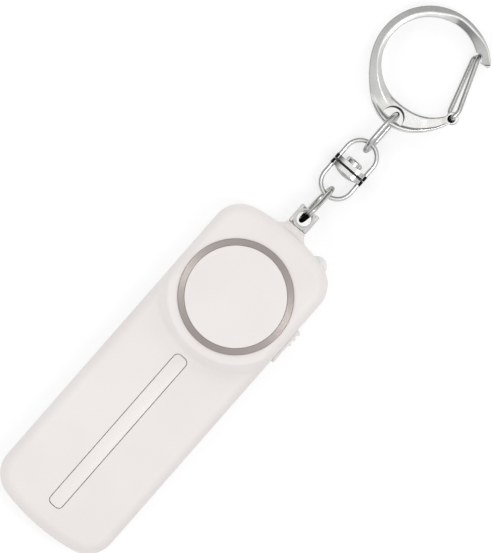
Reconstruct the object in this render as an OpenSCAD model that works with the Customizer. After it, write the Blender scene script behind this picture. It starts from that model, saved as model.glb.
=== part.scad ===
// Personal safety alarm: a two-part case with a sounder, a lamp, a side switch and a battery tray,
// and a pull pin that hangs on a chain with a swivel and a spring clip.
// Millimetres. The origin is on the flat back (z = 0) under the sounder's centre, +Y points to the chain
// and +Z out of the front.

/* [Case] */
// Width of the case
case_w = 33.5; // [32.5:0.5:37.5]
// Length of the case without the collar
case_len = 94.8; // [93.6:0.2:104]
// Radius of the four corners of the outline
corner_r = 7.5; // [6.5:0.25:9]
// Radius of the arched top end
top_arch_r = 46.5; // [40:0.5:70]
// Radius of the arched bottom end
bottom_arch_r = 52.8; // [40:0.4:70]
// Wall of both covers
wall = 1.6; // [1.4:0.1:2]
// Rounding of the front edge
front_edge_r = 3; // [2:0.25:3.5]
// Rounding of the back edge
back_edge_r = 2.5; // [1.5:0.25:3]
// Groove where the covers meet, on each cover
seam = 0.15; // [0.05:0.05:0.3]
// Height of the sounder turret above the handle
head_rise = 2.5; // [2.3:0.1:4]
// Radius where the turret starts to fall to the handle
turret_r = 16.2; // [15.6:0.1:16.6]
// Width of the soft step below the turret
step_w = 2.6; // [1.6:0.1:3]
// Outer radius of the screw bosses
boss_r = 2.4; // [2.2:0.1:2.8]

/* [Sounder] */
// Distance of the sounder's centre from the top end of the case
ring_from_top = 20.8; // [20.4:0.2:22.4]
// Outer diameter of the trim ring
ring_od = 28.5; // [27.5:0.1:29]
// Inner diameter of the trim ring
ring_id = 25.2; // [23.5:0.1:25.5]
// Depth of the trim ring's seat
ring_depth = 1.2; // [1:0.1:1.4]
// Height of the trim ring above the turret
ring_proud = 0.3; // [0.1:0.1:0.6]
// Sound slit between the cap and the trim ring
slit = 0.1; // [0.1:0.05:0.5]
// Rounding of the cap's edge
cap_edge_r = 0.2; // [0.2:0.1:0.9]
// Height of the feet under the cap
cap_foot = 0.5; // [0.3:0.1:0.6]
// Radius of the sound opening
sound_r = 10.6; // [9.5:0.1:10.8]
// Ledge between the ring's seat and the piezo plate
ledge_t = 1.2; // [1:0.1:1.3]
// Diameter of the piezo plate
piezo_d = 27; // [25:0.5:27]
// Thickness of the piezo plate
piezo_t = 0.25; // [0.2:0.05:0.4]
// Diameter of the piezo ceramic
ceramic_d = 19.5; // [17:0.5:21]
// Thickness of the piezo ceramic
ceramic_t = 0.2; // [0.15:0.05:0.3]
// Thickness of the sounder gasket
gasket_t = 0.3; // [0.2:0.05:0.4]

/* [Front strip] */
// Width of the strip
strip_w = 3.65; // [3:0.05:4.5]
// Length of the strip
strip_len = 47.95; // [40:0.05:50]
// Distance from the sounder's centre to the strip's top end
strip_drop = 19.66; // [19.4:0.02:20.5]
// Depth of the strip
strip_t = 0.8; // [0.6:0.1:0.9]
// Gap around the strip
strip_gap = 0.2; // [0.15:0.05:0.5]
// Corner radius of the strip
strip_r = 1.2; // [0.6:0.1:1.4]

/* [Collar and pin] */
// Height of the collar above the top end
collar_h = 1.75; // [1.4:0.05:2.4]
// Radius of the collar's mouth
collar_top_r = 2.85; // [2.8:0.05:3.2]
// Radius of the collar's foot
collar_foot_r = 4.9; // [4.2:0.1:5.4]
// Diameter of the pin's head
pin_head_d = 5.5; // [5.2:0.1:5.6]
// Length of the pin's head
pin_head_len = 5.5; // [5.4:0.1:6]
// Diameter of the pin's stem
pin_d = 2.5; // [2.2:0.1:2.6]
// Length of the pin's stem
pin_len = 15; // [14.6:0.1:15.4]
// Gap around the pin's stem
pin_gap = 0.08; // [0.05:0.01:0.1]
// Diameter of the cross hole in the head
cross_d = 3.6; // [3.4:0.1:3.8]
// Wall left between the cross hole and the end of the head
cross_wall = 0.95; // [0.8:0.05:1.1]
// Depth of the countersinks of the cross hole
cross_sink = 0.8; // [0.7:0.1:0.9]

/* [Lamp] */
// Diameter of the lamp
led_d = 5; // [4.8:0.1:5.2]
// Distance of the lamp from the middle of the case
led_x = 9.95; // [9.6:0.05:10.2]
// Reach of the lamp's tip past the edge of the case
led_proud = 1.5; // [1:0.1:2.4]
// Length of the lamp
led_len = 8.6; // [8.2:0.1:9]
// Gap around the lamp in its hole
led_gap = 0.1; // [0.05:0.05:0.2]

/* [Side switch] */
// Length of the bezel
bezel_len = 10; // [9.8:0.1:10.6]
// Height of the bezel
bezel_h = 6; // [5.6:0.1:6.6]
// Reach of the bezel out of the case
bezel_proud = 0.75; // [0.5:0.05:1]
// Distance of the bezel's middle below the sounder's centre
bezel_drop = 1.1; // [0.8:0.1:1.4]
// Length of the thumb
thumb_len = 4.6; // [4.2:0.1:4.8]
// Height of the thumb
thumb_h = 4.2; // [3.8:0.1:4.6]
// Thickness of the thumb without its ridges
thumb_t = 0.35; // [0.25:0.05:0.5]
// Height of the thumb's ridges
ridge_h = 0.45; // [0.3:0.05:0.6]
// Travel of the switch
switch_travel = 4; // [3.4:0.1:4.2]
// Length of the thumb's neck
neck_len = 2.6; // [2.2:0.1:2.8]
// Height of the thumb's neck
neck_h = 2; // [1.6:0.1:2.4]
// Sliding gap of the switch
slide_gap = 0.1; // [0.05:0.05:0.15]

/* [Battery tray] */
// Diameter of a cell
cell_d = 10.5; // [10:0.1:11]
// Length of a cell with its button
cell_len = 44.5; // [44:0.1:44.6]
// Gap around a cell
cell_gap = 0.25; // [0.15:0.05:0.4]
// Length of a battery spring in use
spring_len = 4; // [3.6:0.1:4.2]
// Wire of the battery springs
spring_wire = 0.7; // [0.5:0.05:0.9]
// Thickness of the battery plates
plate_t = 0.3; // [0.2:0.05:0.5]
// Thickness of the battery door
door_t = 1.4; // [1.2:0.1:1.5]
// Overlap of the door past the tray on each side
door_lip = 0.9; // [0.7:0.1:1.1]
// Gap around the door
door_gap = 0.15; // [0.1:0.05:0.25]
// Walls of the tray
tray_wall = 1.2; // [1:0.1:1.3]

/* [Circuit board] */
// Thickness of the board
board_t = 1.2; // [1:0.1:1.6]
// Height of the pin's axis above the board
axis_h = 2.4; // [2.2:0.1:2.6]
// Gap around the board
board_gap = 0.5; // [0.4:0.1:0.8]
// Diameter of the coil
coil_d = 7.8; // [6.5:0.1:8]
// Height of the coil
coil_h = 6.5; // [5:0.1:6.8]
// Diameter of the capacitor
capacitor_d = 5; // [4:0.1:5.2]
// Height of the capacitor
capacitor_h = 7; // [5:0.1:7.4]

/* [Screws] */
// Diameter of the screw thread
screw_d = 2; // [1.8:0.1:2.2]
// Diameter of the screw head
screw_head_d = 3.6; // [3.3:0.1:3.8]
// Height of the screw head
screw_head_h = 1.3; // [1.1:0.1:1.5]
// Length of the screw thread
screw_len = 8; // [7:0.5:8.5]

/* [Chain] */
// Wire of the links
link_wire = 1.25; // [1.1:0.05:1.3]
// Distance between the two round ends of a link
link_centres = 4.6; // [4.4:0.1:5]
// Slack of a link on the pin's head
link_slack = 0.2; // [0.15:0.05:0.3]
// Turn of the lower link about its length
lower_roll = 8; // [0:1:12]
// Turn of the upper link about its length
upper_roll = 8; // [0:1:10]
// Play kept between the pieces of the chain
chain_play = 0.15; // [0.1:0.05:0.2]
// Share of the free play that is drawn out
chain_draw = 0.72; // [0.65:0.01:0.78]
// Height at which the chain lies above the table
rest_gap = 0.05; // [0.02:0.01:0.1]

/* [Swivel] */
// Sideways place of the swivel, which hangs loose in the links
swivel_x = 0.3; // [-0.4:0.1:0.4]
// Width of the swivel
swivel_w = 9.44; // [9:0.02:10]
// Wire of the swivel
swivel_wire = 1.2; // [1:0.05:1.25]
// Length of a swivel leg
swivel_leg = 2.73; // [2.5:0.01:3.2]
// Thickness of a swivel plate
swivel_plate = 1.3; // [1.1:0.05:1.5]
// Depth of the swivel plates
swivel_depth = 7; // [6.6:0.1:7.4]
// Gap between the two swivel plates
swivel_gap = 0.25; // [0.15:0.05:0.35]
// Diameter of the rivet
rivet_d = 2.2; // [2:0.1:2.6]
// Diameter of the rivet's head
rivet_head_d = 4.4; // [4:0.1:4.8]
// Height of the rivet's head
rivet_head_h = 1.3; // [1:0.1:1.4]
// Height of the rivet's domed foot
rivet_dome_h = 0.8; // [0.6:0.1:1.2]
// Running gap on the rivet
rivet_gap = 0.06; // [0.04:0.01:0.1]

/* [Clip] */
// Inner radius of the hook
clip_in_r = 11.9; // [11.5:0.1:12.1]
// Outer radius of the hook
clip_out_r = 14.7; // [14.5:0.05:15.2]
// Sideways place of the hook's centre
clip_x = -1.6; // [-1.9:0.1:-1.3]
// Thickness of the hook
clip_h = 3.6; // [3.4:0.1:4]
// Thickness at the eye
eye_h = 2.8; // [2.5:0.1:3]
// Thickness at the gate's lug
lug_h = 1.7; // [1.5:0.1:1.8]
// Reach of the eye past the hook's outer circle
eye_reach = 3.3; // [3.25:0.05:3.6]
// Wall below the eye
eye_wall = 1.98; // [1.8:0.02:2.1]
// Height of the eye's hole
eye_hole_h = 3.05; // [2.9:0.05:3.15]
// Half width of the eye's hole
eye_hole_r = 2.8; // [2.7:0.05:3]
// Wire of the gate
gate_wire = 1.2; // [1.1:0.05:1.25]
// Gap around the gate's wire
gate_gap = 0.06; // [0.05:0.01:0.1]
// Distance of the gate's pivot from the hook's centre
gate_pivot_r = 14.15; // [14.05:0.05:14.25]
// Direction of the gate's pivot
gate_pivot_a = -25.9; // [-27:0.1:-25]

/* [Hidden] */
$fn = 64;

// Outline of the case
half_w = case_w / 2;
top_y = ring_from_top;
bottom_y = top_y - case_len;
corner_x = half_w - corner_r;
top_arch_y = top_y - top_arch_r;
bottom_arch_y = bottom_y + bottom_arch_r;
top_corner_y = top_arch_y + sqrt(pow(top_arch_r - corner_r, 2) - corner_x * corner_x);
bottom_corner_y = bottom_arch_y - sqrt(pow(bottom_arch_r - corner_r, 2) - corner_x * corner_x);
top_turn = atan2(top_corner_y - top_arch_y, corner_x);
bottom_turn = atan2(bottom_arch_y - bottom_corner_y, corner_x);
corner_steps = 8;
arch_steps = 10;
side_steps = 20;
side_turn = 20;
edge_steps = 6;
step_steps = 6;
core_r = 8;

// Heights in the case
handle_t = door_t + cell_d + 2 * cell_gap + wall;
head_t = handle_t + head_rise;
part_z = handle_t / 2;
roof_z = handle_t - wall;
inner_r = max(front_edge_r - wall, 0.4);
floor_r = max(back_edge_r - wall, 0.4);
seat_z = head_t - ring_depth;
ledge_z = seat_z - ledge_t;
pocket_r = piezo_d / 2 + 0.4;
cap_r = ring_id / 2 - slit;
cap_top_z = head_t + ring_proud + 0.15;
cap_low_z = seat_z + cap_foot;
fit = 0.05;

// Battery tray
cell_x = cell_d / 2 + 0.3;
cell_z = door_t + cell_gap + cell_d / 2;
button_d = 3.8;
button_h = 0.8;
tray_half = cell_x + cell_d / 2 + cell_gap;
tray_low_y = bottom_y + wall + 1 + tray_wall;
tray_top_y = tray_low_y + 2 * plate_t + spring_len + cell_len + 2 * fit;
tray_high_z = cell_z + 3;
door_half = tray_half + door_lip;
tray_out = door_half + door_gap + tray_wall - 0.2;
door_y = (tray_low_y + tray_top_y) / 2;
door_len = tray_top_y - tray_low_y + 2 * door_lip;
door_corner = 2;
tray_room = 0.3;
latch_w = 8;

// Screws and bosses
boss_x = half_w - wall - boss_r + 0.3;
low_boss_y = tray_top_y + tray_wall + boss_r + 0.6;
top_boss_y = 7.8;
bosses = [[-boss_x, low_boss_y], [boss_x, low_boss_y], [-boss_x, top_boss_y], [boss_x, top_boss_y]];
sink_z = screw_head_h + 0.5;

// Circuit board
board_top = part_z - axis_h;
board_low = board_top - board_t;
board_y0 = low_boss_y + boss_r + 0.5;
board_y1 = top_y - wall - 2.2;
peg_r = 0.7;
coil_x = -8;
coil_y = 3.4;
pegs = [[-9, board_y0 + 2.5], [9, board_y0 + 2.5], [-6.5, board_y1 - 2.6], [5, board_y1 - 4.6]];

// Lamp
led_edge_y = top_arch_y + sqrt(top_arch_r * top_arch_r - led_x * led_x);
led_tip_y = led_edge_y + led_proud;
led_base_y = led_tip_y - led_len;
led_flange_t = 1;
led_flange_d = led_d + 0.8;
lead_d = 0.5;
lead_pitch = 2.54;
lead_y = led_base_y - 1.5;

// Side switch
bezel_y = -bezel_drop;
thumb_y = bezel_y + bezel_len / 2 - thumb_len / 2 - 0.1;
bezel_face_x = half_w + bezel_proud;
track_sink = min(thumb_t + slide_gap, bezel_proud - 0.2);
track_low_y = thumb_y - thumb_len / 2 - switch_travel - slide_gap;
plug_len = bezel_len - 1;
plug_h = bezel_h - 1;
slot_len = neck_len + switch_travel + 2 * slide_gap;
slot_y = thumb_y - switch_travel / 2;
tail_t = 1;
tail_x = half_w - wall - 0.15;
lever_w = 1.5;
switch_x0 = 9.6;
switch_x1 = tail_x - tail_t - 0.15;
switch_len = 8.8;
switch_h = 4.4;

// Pin and socket
collar_y = top_y + collar_h;
pin_end_y = collar_y + pin_head_len;
pin_tip_y = collar_y - pin_len;
cross_y = pin_end_y - cross_wall - cross_d / 2;
socket_y0 = pin_tip_y + 2.7;
socket_y1 = top_y - wall - 1.2;
socket_w = 6.4;
socket_top = part_z + 2.4;
contact_t = 0.25;

// Chain
link_r = pin_head_d / 2 + link_slack + link_wire / 2;
link_out = link_r + link_wire / 2;
link_in = link_r - link_wire / 2;
lower_hinge_y = pin_end_y + 0.15;
link_z = link_out + rest_gap;
lower_pitch = asin(min(0.95, (part_z - link_z) / link_centres));
lower_far_y = lower_hinge_y + link_centres * cos(lower_pitch);
swivel_z = swivel_depth / 2 + rest_gap;
bar_room = link_in - swivel_wire / 2 - chain_play;
bar_draw = chain_draw * sqrt(bar_room * bar_room - pow(link_z - swivel_z, 2));
swivel_y0 = lower_far_y + bar_draw;
bow_r = (swivel_w - swivel_wire) / 2;
swivel_half = bow_r + swivel_leg + swivel_plate;
swivel_y1 = swivel_y0 + 2 * swivel_half + swivel_gap;
upper_near_y = swivel_y1 + bar_draw;
upper_far_y = upper_near_y + link_centres;
dome_w = bow_r - swivel_wire / 2 - 0.12;
dome_r = (dome_w * dome_w + rivet_dome_h * rivet_dome_h) / (2 * rivet_dome_h);

// Clip
eye_room = link_in - chain_play;
eye_draw = 0.68 * eye_room;
clip_hinge_y = upper_far_y + eye_draw - eye_wall / 2;
clip_hinge_z = link_z - sqrt(eye_room * eye_room - eye_draw * eye_draw) + eye_h / 2;
clip_y = clip_out_r + eye_reach - eye_wall / 2;
clip_tilt = asin((clip_hinge_z - clip_h / 2 - rest_gap) / (clip_y + clip_out_r));
eye_a = -86;
hook_start = -26;
hook_end = -321.6;
nose_turn = 7;
hook_steps = 74;
nose_steps = 5;
hook_sides = 16;
gate_x = clip_x + gate_pivot_r * cos(gate_pivot_a);
gate_y = clip_y + gate_pivot_r * sin(gate_pivot_a);
lug_r = gate_wire / 2 + 1;
gate_z = lug_h / 2 + gate_wire / 2 + 0.1;
gate_top_a = 51.2;
gate_top_r = clip_in_r + 0.3;
gate_top = [clip_x + gate_top_r * cos(gate_top_a), clip_y + gate_top_r * sin(gate_top_a)];

// General helpers
function unit(v) = v / norm(v);
function smooth(t) = t <= 0 ? 0 : t >= 1 ? 1 : t * t * (3 - 2 * t);
function lift(ring, z) = [for (p = ring) [p[0], p[1], z]];
function arc(cx, cy, r, a0, a1, n, first = 0, last = 0) =
    [for (i = [first : n - last]) let (a = a0 + (a1 - a0) * i / n) [cx + r * cos(a), cy + r * sin(a)]];

// Closed solid through rings of points, each ring counter-clockwise seen from the last one
module loft(rings) {
    n = len(rings[0]);
    m = len(rings);
    low = [for (i = [0 : n - 1]) i];
    high = [for (i = [n - 1 : -1 : 0]) (m - 1) * n + i];
    sides = [
        for (k = [0 : m - 2], i = [0 : n - 1], half = [0, 1])
            let (a = k * n + i, b = k * n + (i + 1) % n)
            half == 0 ? [a, a + n, b + n] : [a, b + n, b]
    ];
    polyhedron(points = [for (r = rings) each r], faces = concat([low, high], sides), convexity = 6);
}

// Round wire along a path; ref is a direction that the path never takes
function heading(path, i) = unit(path[min(i + 1, len(path) - 1)] - path[max(i - 1, 0)]);
function wire_ring(p, t, r, sides, ref) =
    let (n = unit(cross(t, ref)), b = cross(t, n))
    [for (j = [0 : sides - 1]) p + r * (cos(360 * j / sides) * n + sin(360 * j / sides) * b)];
module wire(path, d, sides, ref) {
    loft([for (i = [0 : len(path) - 1]) wire_ring(path[i], heading(path, i), d / 2, sides, ref)]);
}

// Path with its corners bent at the given reach
function bend_at(a, p, b, r, n) =
    let (s = p + r * unit(a - p), e = p + r * unit(b - p))
    [for (k = [0 : n]) let (t = k / n) (1 - t) * (1 - t) * s + 2 * t * (1 - t) * p + t * t * e];
function bent(path, r, n) = concat(
    [path[0]],
    [for (i = [1 : len(path) - 2]) each bend_at(path[i - 1], path[i], path[i + 1], r, n)],
    [path[len(path) - 1]]
);

// Flat rectangle with round corners
module round_rect(w, h, r) {
    square([w - 2 * r, h], center = true);
    square([w, h - 2 * r], center = true);
    for (x = [-1, 1], y = [-1, 1]) {
        translate([x * (w / 2 - r), y * (h / 2 - r)]) circle(r);
    }
}

// Turns a shape about Z into one about Y, with its top towards +Y
module along_y() {
    rotate([-90, 0, 0]) children();
}

// Case outline, drawn in by d, with extra points beside the turret for the front cover
function side_points(x, up) =
    [for (i = [0 : side_steps])
        let (s = up ? i : side_steps - i, a = side_turn + (90 - side_turn) * s / side_steps)
        [x, -half_w * cos(a) / sin(a)]];
function case_ring(d, beside) = concat(
    arc(corner_x, bottom_corner_y, corner_r - d, -bottom_turn, 0, corner_steps),
    beside ? side_points(half_w - d, true) : [],
    arc(corner_x, top_corner_y, corner_r - d, 0, top_turn, corner_steps),
    arc(0, top_arch_y, top_arch_r - d, top_turn, 180 - top_turn, arch_steps, 1, 1),
    arc(-corner_x, top_corner_y, corner_r - d, 180 - top_turn, 180, corner_steps),
    beside ? side_points(-half_w + d, false) : [],
    arc(-corner_x, bottom_corner_y, corner_r - d, 180, 180 + bottom_turn, corner_steps),
    arc(0, bottom_arch_y, bottom_arch_r - d, 180 + bottom_turn, 360 - bottom_turn, arch_steps, 1, 1)
);

// Height of the front face: the turret's level falls to the handle in one soft step
function front_z(p) =
    let (r = p[1] >= 0 ? 0 : norm([p[0] * turret_r / half_w, p[1]]))
    handle_t + head_rise * smooth(1 - (r - turret_r) / step_w);
function front_edge(a) =
    [for (p = case_ring(front_edge_r * (1 - cos(a)), true))
        [p[0], p[1], front_z(p) - front_edge_r * (1 - sin(a))]];
function field_point(p, k) =
    let (
        q = norm([p[0] * turret_r / half_w, p[1]]) / norm(p),
        foot = min((turret_r + step_w) / q, norm(p) - 0.2),
        brow = min(turret_r / q, foot - 0.6)
    )
    unit(p) * (k <= step_steps ? foot + (brow - foot) * k / step_steps : core_r);
function front_field(k) =
    [for (p = case_ring(front_edge_r, true)) let (s = field_point(p, k)) [s[0], s[1], front_z(s)]];

module front_body() {
    loft(concat(
        [lift(case_ring(seam, true), part_z), lift(case_ring(0, true), part_z + seam)],
        [for (k = [0 : edge_steps]) front_edge(90 * k / edge_steps)],
        [for (k = [0 : step_steps + 1]) front_field(k)]
    ));
}

module front_hollow() {
    loft(concat(
        [lift(case_ring(wall, false), part_z - 1)],
        [for (k = [0 : 3]) let (a = 30 * k)
            lift(case_ring(wall + inner_r * (1 - cos(a)), false), roof_z - inner_r * (1 - sin(a)))]
    ));
}

module rear_body() {
    loft(concat(
        [for (k = [0 : edge_steps]) let (a = 90 * k / edge_steps)
            lift(case_ring(back_edge_r * (1 - sin(a)), false), back_edge_r * (1 - cos(a)))],
        [lift(case_ring(0, false), part_z - seam), lift(case_ring(seam, false), part_z)]
    ));
}

module rear_hollow() {
    loft(concat(
        [for (k = [0 : 3]) let (a = 30 * k)
            lift(case_ring(wall + floor_r * (1 - sin(a)), false), wall + floor_r * (1 - cos(a)))],
        [lift(case_ring(wall, false), part_z + 1)]
    ));
}

// Collar around the pin, moulded half on each cover
module collar() {
    spread = collar_foot_r - collar_top_r;
    flare = [for (i = [0 : 6]) let (t = i / 6)
        [collar_top_r + spread * (1 - t) * (1 - t), top_y - 0.5 + (collar_h + 0.5) * t]];
    translate([0, 0, part_z]) along_y() rotate_extrude()
        polygon(concat([[0, top_y - wall], [collar_foot_r, top_y - wall]], flare, [[0, collar_y]]));
}

// Openings that both covers share: pin, lamp and bezel
module shared_openings() {
    translate([0, top_y - wall - 2, part_z]) along_y()
        cylinder(h = wall + collar_h + 4, r = pin_d / 2 + pin_gap);
    translate([led_x, led_base_y, part_z]) along_y()
        cylinder(h = led_len + 2, r = led_d / 2 + led_gap);
    translate([half_w - wall - 1, bezel_y - plug_len / 2 - fit, part_z - plug_h / 2 - fit])
        cube([wall + 2, plug_len + 2 * fit, plug_h + 2 * fit]);
}

module front_cover() {
    color("whitesmoke") difference() {
        union() {
            difference() {
                front_body();
                front_hollow();
            }
            for (b = bosses) {
                translate([b[0], b[1], part_z]) cylinder(h = roof_z - part_z + 0.4, r = boss_r);
            }
            intersection() {
                collar();
                translate([-10, top_y - wall, part_z]) cube([20, 10, 10]);
            }
        }
        translate([0, 0, roof_z - 1.5]) cylinder(h = ledge_z - roof_z + 1.5, r = pocket_r);
        translate([0, 0, ledge_z - 1]) cylinder(h = ledge_t + 2, r = sound_r);
        translate([0, 0, seat_z]) cylinder(h = head_rise + 5, r = ring_od / 2 + fit);
        translate([0, -strip_drop - strip_len / 2, handle_t - strip_t]) linear_extrude(strip_t + 1)
            round_rect(strip_w + 2 * strip_gap, strip_len + 2 * strip_gap, strip_r + strip_gap);
        for (b = bosses) {
            translate([b[0], b[1], part_z - 1]) cylinder(h = roof_z - part_z + 0.6, r = screw_d / 2 + 0.02);
        }
        shared_openings();
    }
}

module rear_cover() {
    color("whitesmoke") difference() {
        union() {
            difference() {
                rear_body();
                rear_hollow();
            }
            for (b = bosses) {
                translate([b[0], b[1], wall / 2]) cylinder(h = part_z - wall / 2, r = boss_r);
            }
            for (p = pegs) {
                translate([p[0], p[1], wall / 2]) cylinder(h = board_low - wall / 2, r = 1.5);
                translate([p[0], p[1], wall / 2]) cylinder(h = board_top + 0.4 - wall / 2, r = peg_r);
            }
            difference() {
                intersection() {
                    translate([-tray_out, tray_low_y - tray_wall, door_t])
                        cube([2 * tray_out, tray_top_y - tray_low_y + 2 * tray_wall, tray_high_z - door_t]);
                    linear_extrude(handle_t) polygon(case_ring(wall + tray_room, false));
                }
                translate([-tray_half, tray_low_y, door_t - 1])
                    cube([2 * tray_half, tray_top_y - tray_low_y, tray_high_z]);
            }
            intersection() {
                collar();
                translate([-10, top_y - wall, part_z - 10]) cube([20, 10, 10]);
            }
        }
        translate([0, door_y, -1]) linear_extrude(door_t + 1)
            round_rect(2 * (door_half + door_gap), door_len + 2 * door_gap, door_corner + door_gap);
        translate([-tray_half, tray_low_y, 0]) cube([2 * tray_half, tray_top_y - tray_low_y, part_z]);
        for (b = bosses) {
            translate([b[0], b[1], -1]) cylinder(h = sink_z + 1, r = screw_head_d / 2 + 0.1);
            translate([b[0], b[1], 0]) cylinder(h = part_z + 1, r = screw_d / 2 + 0.1);
        }
        for (x = [-cell_x, cell_x]) {
            translate([x - 1, tray_top_y - 1, cell_z + 1]) cube([2, tray_wall + 2, 5]);
        }
        shared_openings();
    }
}

module battery_door() {
    notch_y = door_y - door_len / 2;
    color("whitesmoke") difference() {
        translate([0, door_y, 0]) linear_extrude(door_t) round_rect(2 * door_half, door_len, door_corner);
        for (s = [-1, 1]) {
            translate([s * latch_w / 2 - 0.3, notch_y - 1, -1]) cube([0.6, 6, door_t + 2]);
        }
        for (k = [0 : 3]) {
            translate([-latch_w / 2 + 1.2, notch_y + 1.4 + 1.2 * k, -1]) cube([latch_w - 2.4, 0.6, 1.35]);
        }
    }
}

module case_screws() {
    color("silver") for (b = bosses) {
        translate([b[0], b[1], sink_z]) difference() {
            union() {
                cylinder(h = screw_len, r = screw_d / 2);
                translate([0, 0, -screw_head_h]) cylinder(h = screw_head_h, r = screw_head_d / 2);
            }
            for (turn = [0, 90]) {
                rotate([0, 0, turn]) translate([-1.1, -0.2, -screw_head_h - 1]) cube([2.2, 0.4, 1.8]);
            }
        }
    }
}

module sounder_ring() {
    top = ring_depth + ring_proud;
    color("gray") translate([0, 0, seat_z]) rotate_extrude() polygon([
        [ring_id / 2, 0], [ring_od / 2, 0], [ring_od / 2, ring_depth], [ring_od / 2 - 0.1, top],
        [ring_id / 2 + 0.1, top], [ring_id / 2, top - 0.1]
    ]);
}

module sounder_cap() {
    edge = arc(cap_r - cap_edge_r, cap_top_z - cap_edge_r, cap_edge_r, 0, 90, 6);
    color("whitesmoke") union() {
        rotate_extrude() polygon(concat([[0, cap_low_z], [cap_r, cap_low_z]], edge, [[0, cap_top_z]]));
        for (turn = [30 : 60 : 330]) {
            rotate([0, 0, turn]) translate([sound_r + 0.2, -1.5, seat_z])
                cube([cap_r - sound_r - 0.6, 3, cap_foot + 0.3]);
        }
    }
}

module sounder_gasket() {
    color("dimgray") translate([0, 0, ledge_z - gasket_t]) difference() {
        cylinder(h = gasket_t, r = piezo_d / 2);
        translate([0, 0, -1]) cylinder(h = gasket_t + 2, r = sound_r + 0.6);
    }
}

module piezo_plate() {
    color("goldenrod") translate([0, 0, ledge_z - gasket_t - piezo_t]) cylinder(h = piezo_t, r = piezo_d / 2);
}

module piezo_ceramic() {
    color("ivory") translate([0, 0, ledge_z - gasket_t - piezo_t - ceramic_t])
        cylinder(h = ceramic_t, r = ceramic_d / 2);
}

module sounder_leads() {
    ceramic_z = ledge_z - gasket_t - piezo_t - ceramic_t;
    plate_z = ledge_z - gasket_t - piezo_t;
    color("firebrick") wire(bent([
        [5, -3, ceramic_z - fit], [5, -3, ceramic_z - 1.6],
        [7, -2, board_top + 2.5], [7, -2, board_top + fit]
    ], 1, 4), 0.8, 8, [1, 0, 0]);
    color("black") wire(bent([
        [8.6, 8, plate_z - fit], [8.6, 8, plate_z - 1.8],
        [6.6, 6.2, board_top + 2.5], [6.6, 6.2, board_top + fit]
    ], 1, 4), 0.8, 8, [1, 0, 0]);
}

module front_strip() {
    color("snow") translate([0, -strip_drop - strip_len / 2, handle_t - strip_t])
        linear_extrude(strip_t) round_rect(strip_w, strip_len, strip_r);
}

module lamp_lens() {
    r = led_d / 2;
    body = led_len - r;
    dome = arc(0, body, r, 0, 90, 10);
    color("lightcyan") translate([led_x, led_base_y, part_z]) along_y() rotate_extrude()
        polygon(concat(
            [[0, 0], [led_flange_d / 2, 0], [led_flange_d / 2, led_flange_t], [r, led_flange_t]], dome
        ));
}

module lamp_leads() {
    color("silver") for (s = [-1, 1]) {
        wire(bent([
            [led_x + s * lead_pitch / 2, led_base_y, part_z],
            [led_x + s * lead_pitch / 2, lead_y, part_z],
            [led_x + s * lead_pitch / 2, lead_y, board_low - 0.5]
        ], 0.8, 4), lead_d, 8, [1, 0, 0]);
    }
}

module switch_bezel() {
    color("whitesmoke") difference() {
        union() {
            translate([half_w + fit / 2, bezel_y, part_z]) rotate([90, 0, 90])
                linear_extrude(bezel_proud - fit / 2) round_rect(bezel_len, bezel_h, 1.2);
            translate([half_w - wall, bezel_y - plug_len / 2, part_z - plug_h / 2])
                cube([wall + 0.3, plug_len, plug_h]);
        }
        translate([half_w - wall - 1, slot_y - slot_len / 2, part_z - neck_h / 2 - slide_gap])
            cube([wall + 4, slot_len, neck_h + 2 * slide_gap]);
        translate([bezel_face_x - track_sink, track_low_y, part_z - thumb_h / 2 - slide_gap])
            cube([track_sink + 1, bezel_len, thumb_h + 2 * slide_gap]);
    }
}

module switch_thumb() {
    face = bezel_face_x - track_sink + slide_gap;
    color("whitesmoke") difference() {
        union() {
            translate([face, thumb_y, part_z]) rotate([90, 0, 90]) linear_extrude(thumb_t)
                round_rect(thumb_len, thumb_h, 0.6);
            for (k = [-1 : 1]) {
                ridge_y = thumb_y + k * thumb_len * 0.36;
                translate([face + thumb_t, ridge_y, part_z - thumb_h / 2 + 0.4])
                    linear_extrude(thumb_h - 0.8) polygon([
                        [-0.1, -0.5], [0, -0.5], [ridge_h, -0.28], [ridge_h, 0.28], [0, 0.5], [-0.1, 0.5]
                    ]);
            }
            translate([tail_x - tail_t / 2, thumb_y - neck_len / 2, part_z - neck_h / 2])
                cube([face - tail_x + tail_t / 2 + 0.1, neck_len, neck_h]);
            translate([tail_x - tail_t, thumb_y - 1.8, part_z - 1.8]) cube([tail_t, 3.6, 3.6]);
        }
        translate([tail_x - tail_t - 1, thumb_y - lever_w / 2 - fit, part_z - lever_w / 2 - fit])
            cube([tail_t + 1.6, lever_w + 2 * fit, lever_w + 2 * fit]);
    }
}

module switch_body() {
    lever_room = switch_travel + lever_w + 2 * slide_gap;
    color("silver") difference() {
        translate([switch_x0, slot_y - switch_len / 2, board_top])
            cube([switch_x1 - switch_x0, switch_len, switch_h]);
        translate([switch_x1 - 1.6, slot_y - lever_room / 2, part_z - lever_w / 2 - fit])
            cube([3, lever_room, lever_w + 2 * fit]);
    }
}

module switch_lever() {
    color("black") translate([switch_x1 - 1.5, thumb_y - lever_w / 2, part_z - lever_w / 2])
        cube([tail_x + 0.5 - switch_x1 + 1.5, lever_w, lever_w]);
}

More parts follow.
